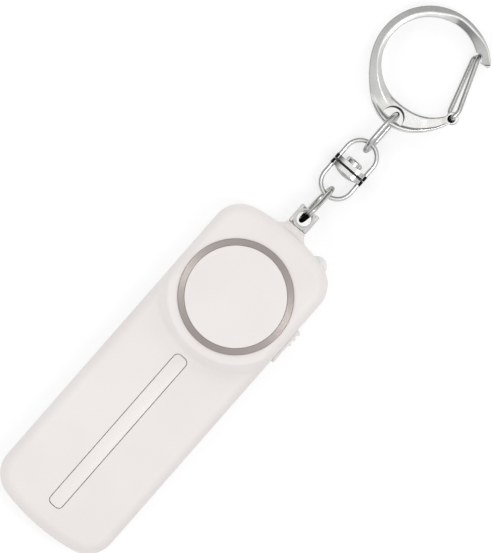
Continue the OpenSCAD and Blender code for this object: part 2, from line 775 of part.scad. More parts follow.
module circuit_board() {
    color("darkgreen") translate([0, 0, board_low]) difference() {
        linear_extrude(board_t) intersection() {
            polygon(case_ring(wall + board_gap, false));
            translate([-half_w, board_y0]) square([case_w, board_y1 - board_y0]);
        }
        for (b = bosses) {
            translate([b[0], b[1], -1]) cylinder(h = board_t + 2, r = boss_r + 0.3);
        }
        translate([led_x - led_flange_d / 2 - 0.5, led_base_y - 0.4, -1]) cube([20, 20, board_t + 2]);
        for (s = [-1, 1]) {
            translate([led_x + s * lead_pitch / 2, lead_y, -1])
                cylinder(h = board_t + 2, r = lead_d / 2 + 0.1);
        }
        for (p = pegs) {
            translate([p[0], p[1], -1]) cylinder(h = board_t + 2, r = peg_r + fit);
        }
    }
}

module control_chip() {
    x = -0.2;
    y = 2;
    color("black") translate([x - 2, y - 2.5, board_top + 0.15]) cube([4, 5, 1.5]);
    color("silver") for (k = [0 : 3], s = [-1, 1]) {
        translate([x + s * 2.35 - 0.65, y - 2.1 + 1.27 * k - 0.2, board_top]) cube([1.3, 0.4, 0.5]);
    }
}

module coil_core() {
    neck = coil_d / 2 - 1.6;
    color("dimgray") translate([coil_x, coil_y, board_top]) rotate_extrude() polygon([
        [0, 0], [coil_d / 2, 0], [coil_d / 2, 1.2], [neck, 1.2], [neck, coil_h - 1.2],
        [coil_d / 2, coil_h - 1.2], [coil_d / 2, coil_h], [0, coil_h]
    ]);
}

module coil_winding() {
    neck = coil_d / 2 - 1.6;
    color("peru") translate([coil_x, coil_y, board_top + 1.2 + fit]) difference() {
        cylinder(h = coil_h - 2.4 - 2 * fit, r = coil_d / 2 - 0.3);
        translate([0, 0, -1]) cylinder(h = coil_h, r = neck + fit);
    }
}

module driver_transistor() {
    color("black") translate([4.2, 1.6, board_top]) {
        cube([4.4, 2.4, 1.5]);
        for (k = [0 : 2]) {
            translate([0.4 + 1.5 * k, -0.8, 0]) cube([0.5, 1, 0.4]);
        }
    }
}

module reservoir_capacitor() {
    r = capacitor_d / 2;
    color("slategray") translate([-6.4, 11, board_top]) rotate_extrude() polygon([
        [0, 0], [r, 0], [r, 1], [r - 0.3, 1.3], [r - 0.3, 1.6], [r, 1.9], [r, capacitor_h - 0.4],
        [r - 0.4, capacitor_h], [0, capacitor_h]
    ]);
}

module chip_parts() {
    places = [
        [-2.4, 6.4, 0], [0.5, 6.4, 0], [3.4, 6.4, 90], [0.2, -2.2, 0], [-10.8, 12.6, 90], [6, 8.8, 0]
    ];
    color("tan") for (p = places) {
        translate([p[0], p[1], board_top]) rotate([0, 0, p[2]]) translate([-1, -0.6, 0])
            cube([2, 1.2, 0.7]);
    }
}

module pin_socket() {
    length = socket_y1 - socket_y0;
    color("black") difference() {
        translate([-socket_w / 2, socket_y0, board_top]) cube([socket_w, length, socket_top - board_top]);
        translate([0, socket_y0 - 1, part_z]) along_y() cylinder(h = length + 2, r = pin_d / 2 + pin_gap);
    }
}

module pin_contacts() {
    inner = pin_d / 2 + pin_gap;
    color("gold") for (s = [-1, 1]) {
        mirror([s < 0 ? 1 : 0, 0, 0]) {
            translate([inner, socket_y0 - 2.2, board_top]) cube([contact_t, 2, part_z - board_top + 1.6]);
            translate([inner, socket_y0 - 2.2, board_top]) cube([2.2, 2, contact_t]);
        }
    }
}

module cell() {
    color("steelblue") along_y() union() {
        translate([0, 0, 0.2]) cylinder(h = cell_len - button_h - 0.2, r = cell_d / 2);
        cylinder(h = 0.3, r = cell_d / 2 - 1.5);
        translate([0, 0, cell_len - button_h - 0.1]) cylinder(h = button_h + 0.1, r = button_d / 2);
    }
}

module battery_cell_left() {
    translate([-cell_x, tray_low_y + plate_t + spring_len + fit, cell_z]) cell();
}

module battery_cell_right() {
    translate([cell_x, tray_top_y - plate_t - spring_len - fit, cell_z]) rotate([0, 0, 180]) cell();
}

module battery_spring() {
    turns = 4;
    steps = 14 * turns;
    path = [for (i = [0 : steps]) let (t = i / steps, a = 360 * turns * t, r = 3.4 - 1.2 * t)
        [r * cos(a), spring_wire / 2 + (spring_len - spring_wire) * smooth(t), r * sin(a)]];
    color("silver") wire(path, spring_wire, 6, [0, 1, 0]);
}

module contact_plate(x0, x1, y) {
    color("silver") translate([x0, y, door_t + 1]) cube([x1 - x0, plate_t, 2 * (cell_z - door_t - 1)]);
}

module bridge_plate() {
    contact_plate(-tray_half + 0.4, tray_half - 0.4, tray_low_y);
}

module bridge_spring() {
    translate([-cell_x, tray_low_y + plate_t, cell_z]) battery_spring();
}

module positive_plate() {
    contact_plate(-tray_half + 0.4, -0.8, tray_top_y - plate_t);
}

module negative_plate() {
    contact_plate(0.8, tray_half - 0.4, tray_top_y - plate_t);
}

module negative_spring() {
    translate([cell_x, tray_top_y - plate_t, cell_z]) mirror([0, 1, 0]) battery_spring();
}

module battery_leads() {
    lead_z = cell_z + 1.6;
    for (s = [-1, 1]) {
        color(s < 0 ? "firebrick" : "black") wire(bent([
            [s * cell_x, tray_top_y + fit, lead_z], [s * cell_x, tray_top_y + tray_wall + 2, lead_z],
            [s * 4, board_y0 + 1.2, lead_z - 0.4], [s * 4, board_y0 + 1.2, board_top + fit]
        ], 1, 4), 0.9, 8, [1, 0, 0]);
    }
}

module pull_pin() {
    r = pin_head_d / 2;
    stem = pin_d / 2;
    groove_y = socket_y0 + 2.4;
    color("lightgray") difference() {
        translate([0, 0, part_z]) along_y() rotate_extrude() polygon([
            [0, pin_tip_y], [stem - 0.6, pin_tip_y], [stem, pin_tip_y + 0.8], [stem, groove_y],
            [stem - 0.3, groove_y + 0.4], [stem - 0.3, groove_y + 1], [stem, groove_y + 1.4],
            [stem, collar_y + fit], [r - 0.3, collar_y + fit], [r, collar_y + 0.3 + fit],
            [r, pin_end_y - 0.3], [r - 0.3, pin_end_y], [0, pin_end_y]
        ]);
        translate([0, cross_y, part_z - r - 1]) cylinder(h = 2 * r + 2, r = cross_d / 2);
        for (s = [-1, 1]) {
            translate([0, cross_y, part_z]) rotate([s < 0 ? 180 : 0, 0, 0]) translate([0, 0, r - cross_sink])
                cylinder(h = cross_sink + 1, r1 = cross_d / 2, r2 = cross_d / 2 + cross_sink + 1);
        }
    }
}

// Chain link standing in the YZ plane, with its first round end at the origin
module chain_link() {
    for (far = [0, 1]) {
        translate([0, far * link_centres, 0]) rotate([0, 90, 0]) rotate([0, 0, far == 1 ? 0 : 180])
            rotate_extrude(angle = 180) translate([link_r, 0]) circle(link_wire / 2);
    }
    for (s = [-1, 1]) {
        translate([0, 0, s * link_r]) along_y() cylinder(h = link_centres, r = link_wire / 2);
    }
}

module lower_link() {
    color("silver") translate([0, lower_hinge_y, part_z])
        rotate([-lower_pitch, 0, 0]) rotate([0, lower_roll, 0]) chain_link();
}

module upper_link() {
    color("silver") translate([swivel_x, upper_near_y, link_z]) rotate([0, -upper_roll, 0]) chain_link();
}

// Half of the swivel with the middle of its bow at the origin and its plate towards +Y
module swivel_bow(hole_r) {
    difference() {
        union() {
            translate([0, bow_r, 0]) rotate([0, 0, 180]) rotate_extrude(angle = 180)
                translate([bow_r, 0]) circle(swivel_wire / 2);
            for (s = [-1, 1]) {
                translate([s * bow_r, bow_r, 0]) along_y()
                    cylinder(h = swivel_leg + swivel_plate / 2, r = swivel_wire / 2);
            }
            translate([0, bow_r + swivel_leg, 0]) along_y() linear_extrude(swivel_plate)
                round_rect(swivel_w + 0.1, swivel_depth, swivel_depth / 2 - 0.3);
        }
        translate([0, bow_r + swivel_leg - 1, 0]) along_y() cylinder(h = swivel_plate + 2, r = hole_r);
    }
}

module swivel_lower() {
    color("silver") translate([swivel_x, swivel_y0, swivel_z]) swivel_bow(rivet_d / 2 + 0.02);
}

module swivel_upper() {
    color("silver") translate([swivel_x, swivel_y1, swivel_z]) rotate([0, 0, 180])
        swivel_bow(rivet_d / 2 + rivet_gap);
}

module swivel_rivet() {
    top = 2 * swivel_plate + swivel_gap + rivet_gap;
    shank = rivet_d / 2;
    head = rivet_head_d / 2;
    dome = arc(0, dome_r - rivet_dome_h, dome_r, -90, asin(dome_w / dome_r) - 90, 8);
    color("silver") translate([swivel_x, swivel_y0 + bow_r + swivel_leg, swivel_z]) along_y() rotate_extrude()
        polygon(concat(dome, [
            [shank, 0], [shank, top], [head, top], [head, top + rivet_head_h - 0.4],
            [head - 0.5, top + rivet_head_h], [0, top + rivet_head_h]
        ]));
}

// Clip, drawn flat with the middle of the wall below its eye at the origin
function eye_swell(a) = exp(-pow((a - eye_a) / (a < eye_a ? 32 : 43), 2));
function hook_out(a) = clip_out_r + eye_reach * eye_swell(a);
function hook_in(a) = clip_in_r + 1.1 * smooth((a + 90) / 60);
function hook_h(a) =
    lug_h + (eye_h - lug_h) * smooth((-40 - a) / 18) + (clip_h - eye_h) * smooth((-108 - a) / 26);
function into_nose(a, turn) = max(0, (hook_end + turn - a) / turn);
function round_end(t) = sqrt(max(0.04, 1 - t * t));
function sharp_end(t) = max(0.08, 1 - t * t);
function bulge(v) = sign(v) * pow(abs(v), 0.6);
function hook_ring(a) =
    let (
        tip_r = clip_out_r - 0.65,
        far = tip_r + (hook_out(a) - tip_r) * round_end(into_nose(a, nose_turn / 2)),
        near = tip_r - (tip_r - hook_in(a)) * sharp_end(into_nose(a, nose_turn)),
        w = (far - near) / 2,
        m = (far + near) / 2,
        h = round_end(into_nose(a, nose_turn)) * hook_h(a) / 2
    )
    [for (j = [0 : hook_sides - 1])
        let (b = 360 * j / hook_sides, r = m + w * bulge(cos(b)))
        [clip_x + r * cos(a), clip_y + r * sin(a), h * bulge(sin(b))]];

module on_clip() {
    translate([0, clip_hinge_y, clip_hinge_z]) rotate([-clip_tilt, 0, 0]) children();
}

// Path of the gate's wire: out of the pivot, up the front, over under the nose and down the back
front_leg = [gate_top[0] + 0.4, gate_top[1] - 1.1];
back_leg = [gate_top[0] - 0.7, gate_top[1] - 1.1];
gate_path = [
    [gate_x, gate_y, 0.15], [gate_x, gate_y, gate_z], [gate_x + 0.1, gate_y + 2.2, gate_z],
    [front_leg[0], front_leg[1], gate_z], [gate_top[0], gate_top[1], 0.8], [gate_top[0], gate_top[1], -0.8],
    [back_leg[0], back_leg[1], -gate_z], [gate_x - 1.6, gate_y + 0.9, -gate_z], [gate_x, gate_y, -gate_z],
    [gate_x, gate_y, -0.15]
];

module clip_hook() {
    notch = gate_wire + 0.3;
    color("silver") on_clip() difference() {
        union() {
            loft(concat(
                [for (k = [0 : hook_steps])
                    hook_ring(hook_start + (hook_end + nose_turn - hook_start) * k / hook_steps)],
                [for (k = [1 : nose_steps]) hook_ring(hook_end + nose_turn * (1 - k / nose_steps))]
            ));
            translate([gate_x, gate_y, -lug_h / 2]) cylinder(h = lug_h, r = lug_r);
        }
        translate([0, 0, -5]) linear_extrude(10) intersection() {
            translate([0, eye_wall / 2 + eye_hole_h - eye_hole_r]) circle(eye_hole_r);
            translate([-eye_hole_r, eye_wall / 2]) square([2 * eye_hole_r, eye_hole_h]);
        }
        translate([gate_x, gate_y, -5]) cylinder(h = 10, r = gate_wire / 2 + gate_gap);
        translate([gate_top[0], gate_top[1], -5]) {
            cylinder(h = 10, r = notch / 2);
            rotate([0, 0, 198]) translate([0, -notch / 2, 0]) cube([3, notch, 10]);
            rotate([0, 0, -70]) translate([0, -notch / 2 - 0.1, 0]) cube([4, notch + 0.3, 10]);
        }
    }
}

module clip_gate() {
    color("silver") on_clip() wire(bent(gate_path, 0.55, 4), gate_wire, 10, [0.94, 0.34, 0]);
}

front_cover();
rear_cover();
battery_door();
case_screws();
sounder_ring();
sounder_cap();
sounder_gasket();
piezo_plate();
piezo_ceramic();
sounder_leads();
front_strip();
lamp_lens();
lamp_leads();
switch_bezel();
switch_thumb();
switch_body();
switch_lever();
circuit_board();
control_chip();
coil_core();
coil_winding();
driver_transistor();
reservoir_capacitor();
chip_parts();
pin_socket();
pin_contacts();
battery_cell_left();
battery_cell_right();
bridge_plate();
bridge_spring();
positive_plate();
negative_plate();
negative_spring();
battery_leads();
pull_pin();
lower_link();
swivel_lower();
swivel_rivet();
swivel_upper();
upper_link();
clip_hook();
clip_gate();
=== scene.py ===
import math

import bmesh
import bpy
from mathutils import Matrix, Vector


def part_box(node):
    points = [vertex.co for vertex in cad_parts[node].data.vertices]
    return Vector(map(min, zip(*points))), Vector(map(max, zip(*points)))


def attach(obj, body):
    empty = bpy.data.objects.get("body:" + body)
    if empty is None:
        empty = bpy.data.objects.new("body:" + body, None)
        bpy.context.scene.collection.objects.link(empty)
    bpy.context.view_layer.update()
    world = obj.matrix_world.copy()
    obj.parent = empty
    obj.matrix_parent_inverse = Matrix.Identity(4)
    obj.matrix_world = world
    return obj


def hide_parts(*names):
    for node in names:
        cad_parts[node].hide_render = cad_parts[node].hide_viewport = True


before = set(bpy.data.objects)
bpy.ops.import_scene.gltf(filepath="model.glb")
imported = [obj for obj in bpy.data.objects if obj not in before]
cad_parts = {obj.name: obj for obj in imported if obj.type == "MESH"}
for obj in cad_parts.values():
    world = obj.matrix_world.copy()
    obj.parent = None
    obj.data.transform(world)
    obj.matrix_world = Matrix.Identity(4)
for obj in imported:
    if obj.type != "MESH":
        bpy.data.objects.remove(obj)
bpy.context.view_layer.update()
scene = bpy.context.scene


# Rear cover: the back half of the case, moulded in warm white ABS with the battery tray, the
# screw sinks and half of the collar. Its flat back is what the alarm lies on, and four screws
# hold it to the front cover.
MM = 0.001


def shown_colour(red, green, blue):
    """A colour as a screen shows it, 0 to 255 a channel, as light values."""
    light = []
    for level in (red / 255, green / 255, blue / 255):
        light.append(level / 12.92 if level < 0.04045 else ((level + 0.055) / 1.055) ** 2.4)
    return (*light, 1.0)


def set_sockets(node, values):
    """Plain values on a node's inputs, by name or by number."""
    for label, value in values.items():
        node.inputs[label].default_value = value


def add_node(tree, kind, sockets=None, **properties):
    """A shader node with its properties and its plain socket values."""
    node = tree.nodes.new("ShaderNode" + kind)
    for label, value in properties.items():
        setattr(node, label, value)
    set_sockets(node, sockets or {})
    return node


def join(giver, out, taker, into):
    """A link from one node's socket to another's in the same tree, each by name or by number."""
    giver.id_data.links.new(giver.outputs[out], taker.inputs[into])


def new_group(name, takes, gives):
    """An empty shader node group with named sockets, its input node and its output node."""
    group = bpy.data.node_groups.new(name, "ShaderNodeTree")
    for label, kind in takes:
        group.interface.new_socket(label, in_out="INPUT", socket_type="NodeSocket" + kind)
    for label, kind in gives:
        group.interface.new_socket(label, in_out="OUTPUT", socket_type="NodeSocket" + kind)
    return group, group.nodes.new("NodeGroupInput"), group.nodes.new("NodeGroupOutput")


MIX_FACTOR, MIX_FIRST, MIX_SECOND, MIX_RESULT = 0, 6, 7, 2


def surface_group(name, wear_low, wear_high):
    """A group for a surface, with one colour between two and one roughness between two.

    The section that asks for it joins its own marks to the tone, the wear and the height."""
    group, given, taken = new_group(
        name,
        [("Colour", "Color"), ("Shade", "Color"),
         ("Fineness", "Float"), ("Smooth", "Float"), ("Dull", "Float")],
        [("Colour", "Color"), ("Roughness", "Float"), ("Height", "Float")],
    )
    tone = add_node(group, "Mix", data_type="RGBA")
    wear = add_node(group, "MapRange", {"From Min": wear_low, "From Max": wear_high})
    join(given, "Colour", tone, MIX_FIRST)
    join(given, "Shade", tone, MIX_SECOND)
    join(given, "Smooth", wear, "To Min")
    join(given, "Dull", wear, "To Max")
    join(tone, MIX_RESULT, taken, "Colour")
    join(wear, "Result", taken, "Roughness")
    return group, given, tone, wear, taken


moulded_skin, skin_in, skin_tone, skin_wear, skin_out = surface_group("moulded_skin", 0.32, 0.68)
skin_place = add_node(moulded_skin, "TexCoord")
skin_flow = add_node(moulded_skin, "TexNoise", {"Scale": 42.0, "Detail": 2.0})
skin_spread = add_node(moulded_skin, "MapRange", {"From Min": 0.36, "From Max": 0.66})
skin_grain = add_node(moulded_skin, "TexNoise", {"Detail": 3.0, "Roughness": 0.6})
skin_rub = add_node(moulded_skin, "TexNoise", {"Scale": 240.0, "Detail": 4.0})
for texture in (skin_flow, skin_grain, skin_rub):
    join(skin_place, "Object", texture, "Vector")
join(skin_in, "Fineness", skin_grain, "Scale")
join(skin_flow, 0, skin_spread, "Value")
join(skin_spread, "Result", skin_tone, MIX_FACTOR)
join(skin_rub, 0, skin_wear, "Value")
join(skin_grain, 0, skin_out, "Height")


def new_material(name, sockets=None):
    """A material, its node tree and its shader with plain socket values."""
    material = bpy.data.materials.new(name)
    material.use_nodes = True
    shader = material.node_tree.nodes["Principled BSDF"]
    set_sockets(shader, sockets or {})
    return material, material.node_tree, shader


def skinned(name, group, colour, shade, smooth, dull, mark_size, mark_depth):
    """A material from a surface group: two screen colours, two roughnesses, and fine marks in mm."""
    material, tree, shader = new_material(name)
    values = {
        "Colour": shown_colour(*colour), "Shade": shown_colour(*shade), "Smooth": smooth, "Dull": dull,
        "Fineness": 1 / (mark_size * MM),
    }
    skin = add_node(tree, "Group", values, node_tree=group)
    relief = add_node(tree, "Bump", {"Strength": 1.0, "Distance": mark_depth * MM})
    join(skin, "Colour", shader, "Base Color")
    join(skin, "Roughness", shader, "Roughness")
    join(skin, "Height", relief, "Height")
    join(relief, "Normal", shader, "Normal")
    return material, tree, shader, skin


def moulded_plastic(name, *finish):
    """Moulded plastic: slow flow marks in its colour, a fine tool grain and rubbed patches."""
    return skinned(name, moulded_skin, *finish)[0]


def smooth_shading(mesh, sharp_angle):
    """Smooth shading that keeps the edges sharper than the given angle."""
    mesh.polygons.foreach_set("use_smooth", [True] * len(mesh.polygons))
    mesh.set_sharp_from_angle(angle=math.radians(sharp_angle))


def dressed_copy(node, rounding=0.0, sharp_angle=31.0):
    """A welded copy of a CAD piece's mesh, with its hard edges rounded over."""
    weld, flat_angle, hard_angle = 0.002 * MM, math.radians(0.3), math.radians(40)
    form = bmesh.new()
    form.from_mesh(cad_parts[node].data)
    bmesh.ops.remove_doubles(form, verts=form.verts, dist=weld)
    bmesh.ops.dissolve_limit(form, angle_limit=flat_angle, verts=form.verts, edges=form.edges)
    if rounding > 0:
        hard = [e for e in form.edges if e.is_manifold and e.calc_face_angle(0) > hard_angle]
        bmesh.ops.bevel(
            form, geom=hard, offset=rounding * MM, offset_type="OFFSET", segments=2, profile=0.5,
            affect="EDGES", clamp_overlap=True,
        )
    form.verts.index_update()
    mesh = bpy.data.meshes.new(node + "_form")
    mesh.from_pydata([v.co.copy() for v in form.verts], [], [[v.index for v in f.verts] for f in form.faces])
    form.free()
    smooth_shading(mesh, sharp_angle)
    return mesh


def placed(name, data):
    """A new object in the scene."""
    thing = bpy.data.objects.new(name, data)
    scene.collection.objects.link(thing)
    return thing


def add_piece(name, mesh, material, body, slot, *nodes):
    """A new piece that rides on a body and stands for the named CAD pieces."""
    piece = placed(name, mesh)
    mesh.materials.clear()
    mesh.materials.append(material)
    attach(piece, body)
    if nodes:
        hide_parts(*nodes)
    return piece


def dress(name, node, rounding, material, body, slot):
    """A piece that is one CAD piece with its edges rounded, and stands for it."""
    add_piece(name, dressed_copy(node, rounding), material, body, slot, node)


def finish_node(material, *nodes):
    """Puts a material on CAD pieces that keep their own shape."""
    for node in nodes:
        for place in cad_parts[node].material_slots:
            place.material = material


case_white = moulded_plastic("case_white", (235, 230, 228), (231, 225, 223), 0.36, 0.48, 0.22, 0.004)
dress("rear_shell", "rear_cover", 0.0, case_white, "case", "case_plastic")


# Battery hardware: two cells side by side in the tray, sprung plates of tinned steel strip
# pressed into its end walls, and the two insulated leads soldered to them.
plated_skin, plate_in, plate_tone, plate_wear, plate_out = surface_group("plated_skin", 0.34, 0.7)
plate_place = add_node(plated_skin, "TexCoord")
plate_stretch = add_node(plated_skin, "VectorMath", {1: (1.0, 0.14, 1.0)}, operation="MULTIPLY")
plate_cloud = add_node(plated_skin, "TexNoise", {"Scale": 170.0, "Detail": 4.0, "Roughness": 0.55})
plate_haze = add_node(plated_skin, "MapRange", {"From Min": 0.42, "From Max": 0.72})
plate_lines = add_node(plated_skin, "TexNoise", {"Detail": 2.0, "Roughness": 0.5})
join(plate_place, "Object", plate_stretch, 0)
join(plate_place, "Object", plate_cloud, "Vector")
join(plate_stretch, 0, plate_lines, "Vector")
join(plate_in, "Fineness", plate_lines, "Scale")
join(plate_cloud, 0, plate_haze, "Value")
join(plate_haze, "Result", plate_tone, MIX_FACTOR)
join(plate_cloud, 0, plate_wear, "Value")
join(plate_lines, 0, plate_out, "Height")


def plated(name, *finish):
    """Plated or polished metal: clouded colour, worn patches and fine polishing lines."""
    material, tree, shader, skin = skinned(name, plated_skin, *finish)
    set_sockets(shader, {"Metallic": 1.0, "Specular Tint": (0.5, 0.5, 0.5, 1.0)})
    return material, tree, shader, skin


def plated_metal(name, *finish):
    """The same, where only the material is needed."""
    return plated(name, *finish)[0]


tinned_steel = plated_metal("tinned_steel", (204, 204, 202), (170, 168, 163), 0.26, 0.42, 0.3, 0.003)
finish_node(tinned_steel, "bridge_plate", "positive_plate", "negative_plate")
dress("bridge_coil", "bridge_spring", 0.0, tinned_steel, "case", "tinned_steel")
dress("negative_coil", "negative_spring", 0.0, tinned_steel, "case", "tinned_steel")


def place_split(tree):
    """A node that gives a point's place as X, Y and Z."""
    split = add_node(tree, "SeparateXYZ")
    join(add_node(tree, "TexCoord"), "Object", split, "Vector")
    return split


def worked(giver, out, operation, value=0.0):
    """A sum on one output of a node, with a plain second value."""
    node = add_node(giver.id_data, "Math", {1: value}, operation=operation)
    join(giver, out, node, 0)
    return node


def tint(skin, mask, colour, shader):
    """A second colour over a surface where a mask is 1."""
    tone = add_node(skin.id_data, "Mix", {MIX_SECOND: shown_colour(*colour)}, data_type="RGBA")
    join(mask, 0, tone, MIX_FACTOR)
    join(skin, "Colour", tone, MIX_FIRST)
    join(tone, MIX_RESULT, shader, "Base Color")


cell_low, cell_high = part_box("battery_cell_left")
cell_bare_end, cell_print = 2.0, 1 / 2.2
cell_wrap, cell_tree, cell_shader, cell_skin = skinned(
    "cell_wrap", moulded_skin, (74, 78, 84), (62, 66, 73), 0.22, 0.36, cell_print, 0.003
)
cell_along = worked(place_split(cell_tree), "Y", "SUBTRACT", (cell_low.y + cell_high.y) / 2)
cell_reach = worked(cell_along, 0, "ABSOLUTE")
cell_end = worked(cell_reach, 0, "GREATER_THAN", (cell_high.y - cell_low.y) / 2 - cell_bare_end * MM)
tint(cell_skin, cell_end, (186, 184, 178), cell_shader)
join(cell_end, 0, cell_shader, "Metallic")
finish_node(cell_wrap, "battery_cell_left", "battery_cell_right")


def lead_cover(name, node):
    """Insulated lead pair: one red lead on the right, one black lead on the left."""
    low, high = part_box(node)
    cover_grain = 1 / 3
    material, tree, shader, skin = skinned(
        name, moulded_skin, (34, 34, 36), (26, 26, 28), 0.4, 0.55, cover_grain, 0.002
    )
    right = worked(place_split(tree), "X", "GREATER_THAN", (low.x + high.x) / 2)
    tint(skin, right, (176, 36, 30), shader)
    return material


battery_cover = lead_cover("battery_lead_cover", "battery_leads")
dress("battery_lead_pair", "battery_leads", 0.0, battery_cover, "case", "lead_cover")


# Circuit board: green glass-epoxy laminate with tinned tracks under the mask. It drops over
# four pegs of the rear cover and carries every electric part.
track_share = 0.07
board_green, board_tree, board_shader, board_skin = skinned(
    "board_green", moulded_skin, (30, 92, 58), (24, 80, 50), 0.25, 0.38, 0.2, 0.003
)
board_place = add_node(board_tree, "TexCoord")
board_cells = add_node(
    board_tree, "TexVoronoi", {"Scale": 420.0, "Randomness": 0.55}, feature="DISTANCE_TO_EDGE"
)
join(board_place, "Object", board_cells, "Vector")
board_track = worked(board_cells, "Distance", "LESS_THAN", track_share)
tint(board_skin, board_track, (58, 128, 82), board_shader)
finish_node(board_green, "circuit_board")


# Board parts: the control chip, step-up coil, driver transistor, reservoir capacitor and small
# chip parts, each soldered to the board's upper side.
black_plastic = moulded_plastic("black_plastic", (32, 32, 34), (25, 25, 27), 0.42, 0.58, 0.12, 0.004)
finish_node(black_plastic, "control_chip", "driver_transistor", "pin_socket", "switch_lever")
coil_ferrite = moulded_plastic("coil_ferrite", (60, 58, 60), (48, 46, 48), 0.55, 0.75, 0.1, 0.006)
finish_node(coil_ferrite, "coil_core")
coil_copper = plated_metal("coil_copper", (196, 112, 66), (150, 78, 44), 0.2, 0.36, 0.25, 0.02)
finish_node(coil_copper, "coil_winding")
capacitor_can = plated_metal("capacitor_can", (188, 190, 194), (160, 162, 166), 0.24, 0.4, 0.2, 0.002)
finish_node(capacitor_can, "reservoir_capacitor")
chip_body = moulded_plastic("chip_body", (176, 160, 134), (150, 134, 110), 0.4, 0.6, 0.1, 0.004)
finish_node(chip_body, "chip_parts")
contact_metal = plated_metal("contact_metal", (206, 182, 120), (178, 148, 92), 0.2, 0.36, 0.2, 0.002)
finish_node(contact_metal, "pin_contacts")


# Lamp: a 5 mm LED cast in clear epoxy round its lead frame. Its flange stands inside the case
# and its dome looks out of the top edge beside the collar.
# Painted light: the clear epoxy is drawn mostly white and only a fifth see-through, for the pale table that
# shows through the dome.
lamp_clear, lamp_tree, lamp_shader = new_material(
    "lamp_clear", {"Base Color": (0.97, 0.97, 0.97, 1.0), "Transmission Weight": 0.2, "IOR": 1.52}
)
lamp_place = add_node(lamp_tree, "TexCoord")
lamp_flow = add_node(lamp_tree, "TexNoise", {"Scale": 300.0, "Detail": 2.0})
lamp_haze = add_node(lamp_tree, "MapRange", {"To Min": 0.02, "To Max": 0.09})
lamp_relief = add_node(lamp_tree, "Bump", {"Strength": 1.0, "Distance": 0.02 * MM})
join(lamp_place, "Object", lamp_flow, "Vector")
join(lamp_flow, 0, lamp_haze, "Value")
join(lamp_haze, "Result", lamp_shader, "Roughness")
join(lamp_flow, 0, lamp_relief, "Height")
join(lamp_relief, "Normal", lamp_shader, "Normal")
finish_node(lamp_clear, "lamp_lens")
finish_node(tinned_steel, "lamp_leads", "switch_body")


def loft(rings):
    """A closed form through rings of points in mm, all with one count, each ring turning one way."""
    count = len(rings[0])
    points = [Vector(point) * MM for ring in rings for point in ring]
    faces = []
    for k in range(len(rings) - 1):
        low, high = k * count, (k + 1) * count
        for i in range(count):
            j = (i + 1) % count
            faces.append((low + i, low + j, high + j, high + i))
    faces.append(tuple(reversed(range(count))))
    faces.append(tuple(range(len(points) - count, len(points))))
    mesh = bpy.data.meshes.new("form")
    mesh.from_pydata(points, [], faces)
    return mesh


def turned_about_y(profile, centre_x, centre_z, sides):
    """Rings of a turned form about a line along Y, from (radius, y) pairs with rising y."""
    rings = []
    for radius, y in profile:
        ring = []
        for j in range(sides):
            turn = -2 * math.pi * j / sides
            ring.append((centre_x + radius * math.cos(turn), y, centre_z + radius * math.sin(turn)))
        rings.append(ring)
    return rings


lamp_x, lamp_z, lamp_base_y = 9.95, 7.0, 12.623
cup_profile = [
    (0.28, 1.2), (0.3, 3.1), (0.95, 3.5), (1.05, 4.5), (0.9, 4.5), (0.55, 4.05), (0.3, 4.0),
]
cup_mesh = loft(turned_about_y([(r, lamp_base_y + y) for r, y in cup_profile], lamp_x, lamp_z, 32))
smooth_shading(cup_mesh, 40)
add_piece("lamp_cup", cup_mesh, tinned_steel, "case", "tinned_steel")
lamp_glow = moulded_plastic("lamp_phosphor", (226, 206, 92), (214, 190, 70), 0.5, 0.7, 0.05, 0.003)
dot_profile = [(0.5, 4.06), (0.5, 4.2), (0.36, 4.34), (0.12, 4.4)]
dot_mesh = loft(turned_about_y([(r, lamp_base_y + y) for r, y in dot_profile], lamp_x, lamp_z, 24))
smooth_shading(dot_mesh, 50)
add_piece("lamp_dot", dot_mesh, lamp_glow, "case", "strip_plastic")


# Sounder works: a brass disc with a bonded ceramic, seated on a foam gasket under the front
# cover's ledge, with two leads soldered to it.
piezo_brass = plated_metal("piezo_brass", (206, 176, 102), (176, 146, 80), 0.22, 0.4, 0.15, 0.002)
finish_node(piezo_brass, "piezo_plate")
piezo_white = moulded_plastic("piezo_white", (222, 220, 212), (206, 204, 196), 0.4, 0.6, 0.08, 0.004)
finish_node(piezo_white, "piezo_ceramic")
gasket_foam = moulded_plastic("gasket_foam", (70, 70, 72), (56, 56, 58), 0.8, 0.95, 0.3, 0.06)
finish_node(gasket_foam, "sounder_gasket")
sounder_cover = lead_cover("sounder_lead_cover", "sounder_leads")
dress("sounder_lead_pair", "sounder_leads", 0.0, sounder_cover, "case", "lead_cover")


# Front cover: the front half of the case, moulded in the same white ABS. One surface runs from
# the raised sounder turret down a soft step to the handle and over the rounded edge to the seam.
half_w, top_y, bottom_y = 16.75, 20.8, -74.0
corner_r, top_arch_r, bottom_arch_r = 7.5, 46.5, 52.8
handle_t, head_rise, turret_r, step_w = 14.0, 2.5, 16.2, 2.6
part_z, roof_z, wall, seam = 7.0, 12.4, 1.6, 0.15
front_edge_r, inner_edge_r, rim_w, brow_w = 3.0, 1.4, 0.2, 0.6
corner_x = half_w - corner_r
top_arch_y = top_y - top_arch_r
bottom_arch_y = bottom_y + bottom_arch_r
top_corner_y = top_arch_y + math.sqrt((top_arch_r - corner_r) ** 2 - corner_x ** 2)
bottom_corner_y = bottom_arch_y - math.sqrt((bottom_arch_r - corner_r) ** 2 - corner_x ** 2)
top_turn = math.degrees(math.atan2(top_corner_y - top_arch_y, corner_x))
bottom_turn = math.degrees(math.atan2(bottom_arch_y - bottom_corner_y, corner_x))


def arc(centre_x, centre_y, radius, start, end, steps):
    """Points along an arc, in degrees."""
    turns = [math.radians(start + (end - start) * i / steps) for i in range(steps + 1)]
    return [(centre_x + radius * math.cos(t), centre_y + radius * math.sin(t)) for t in turns]


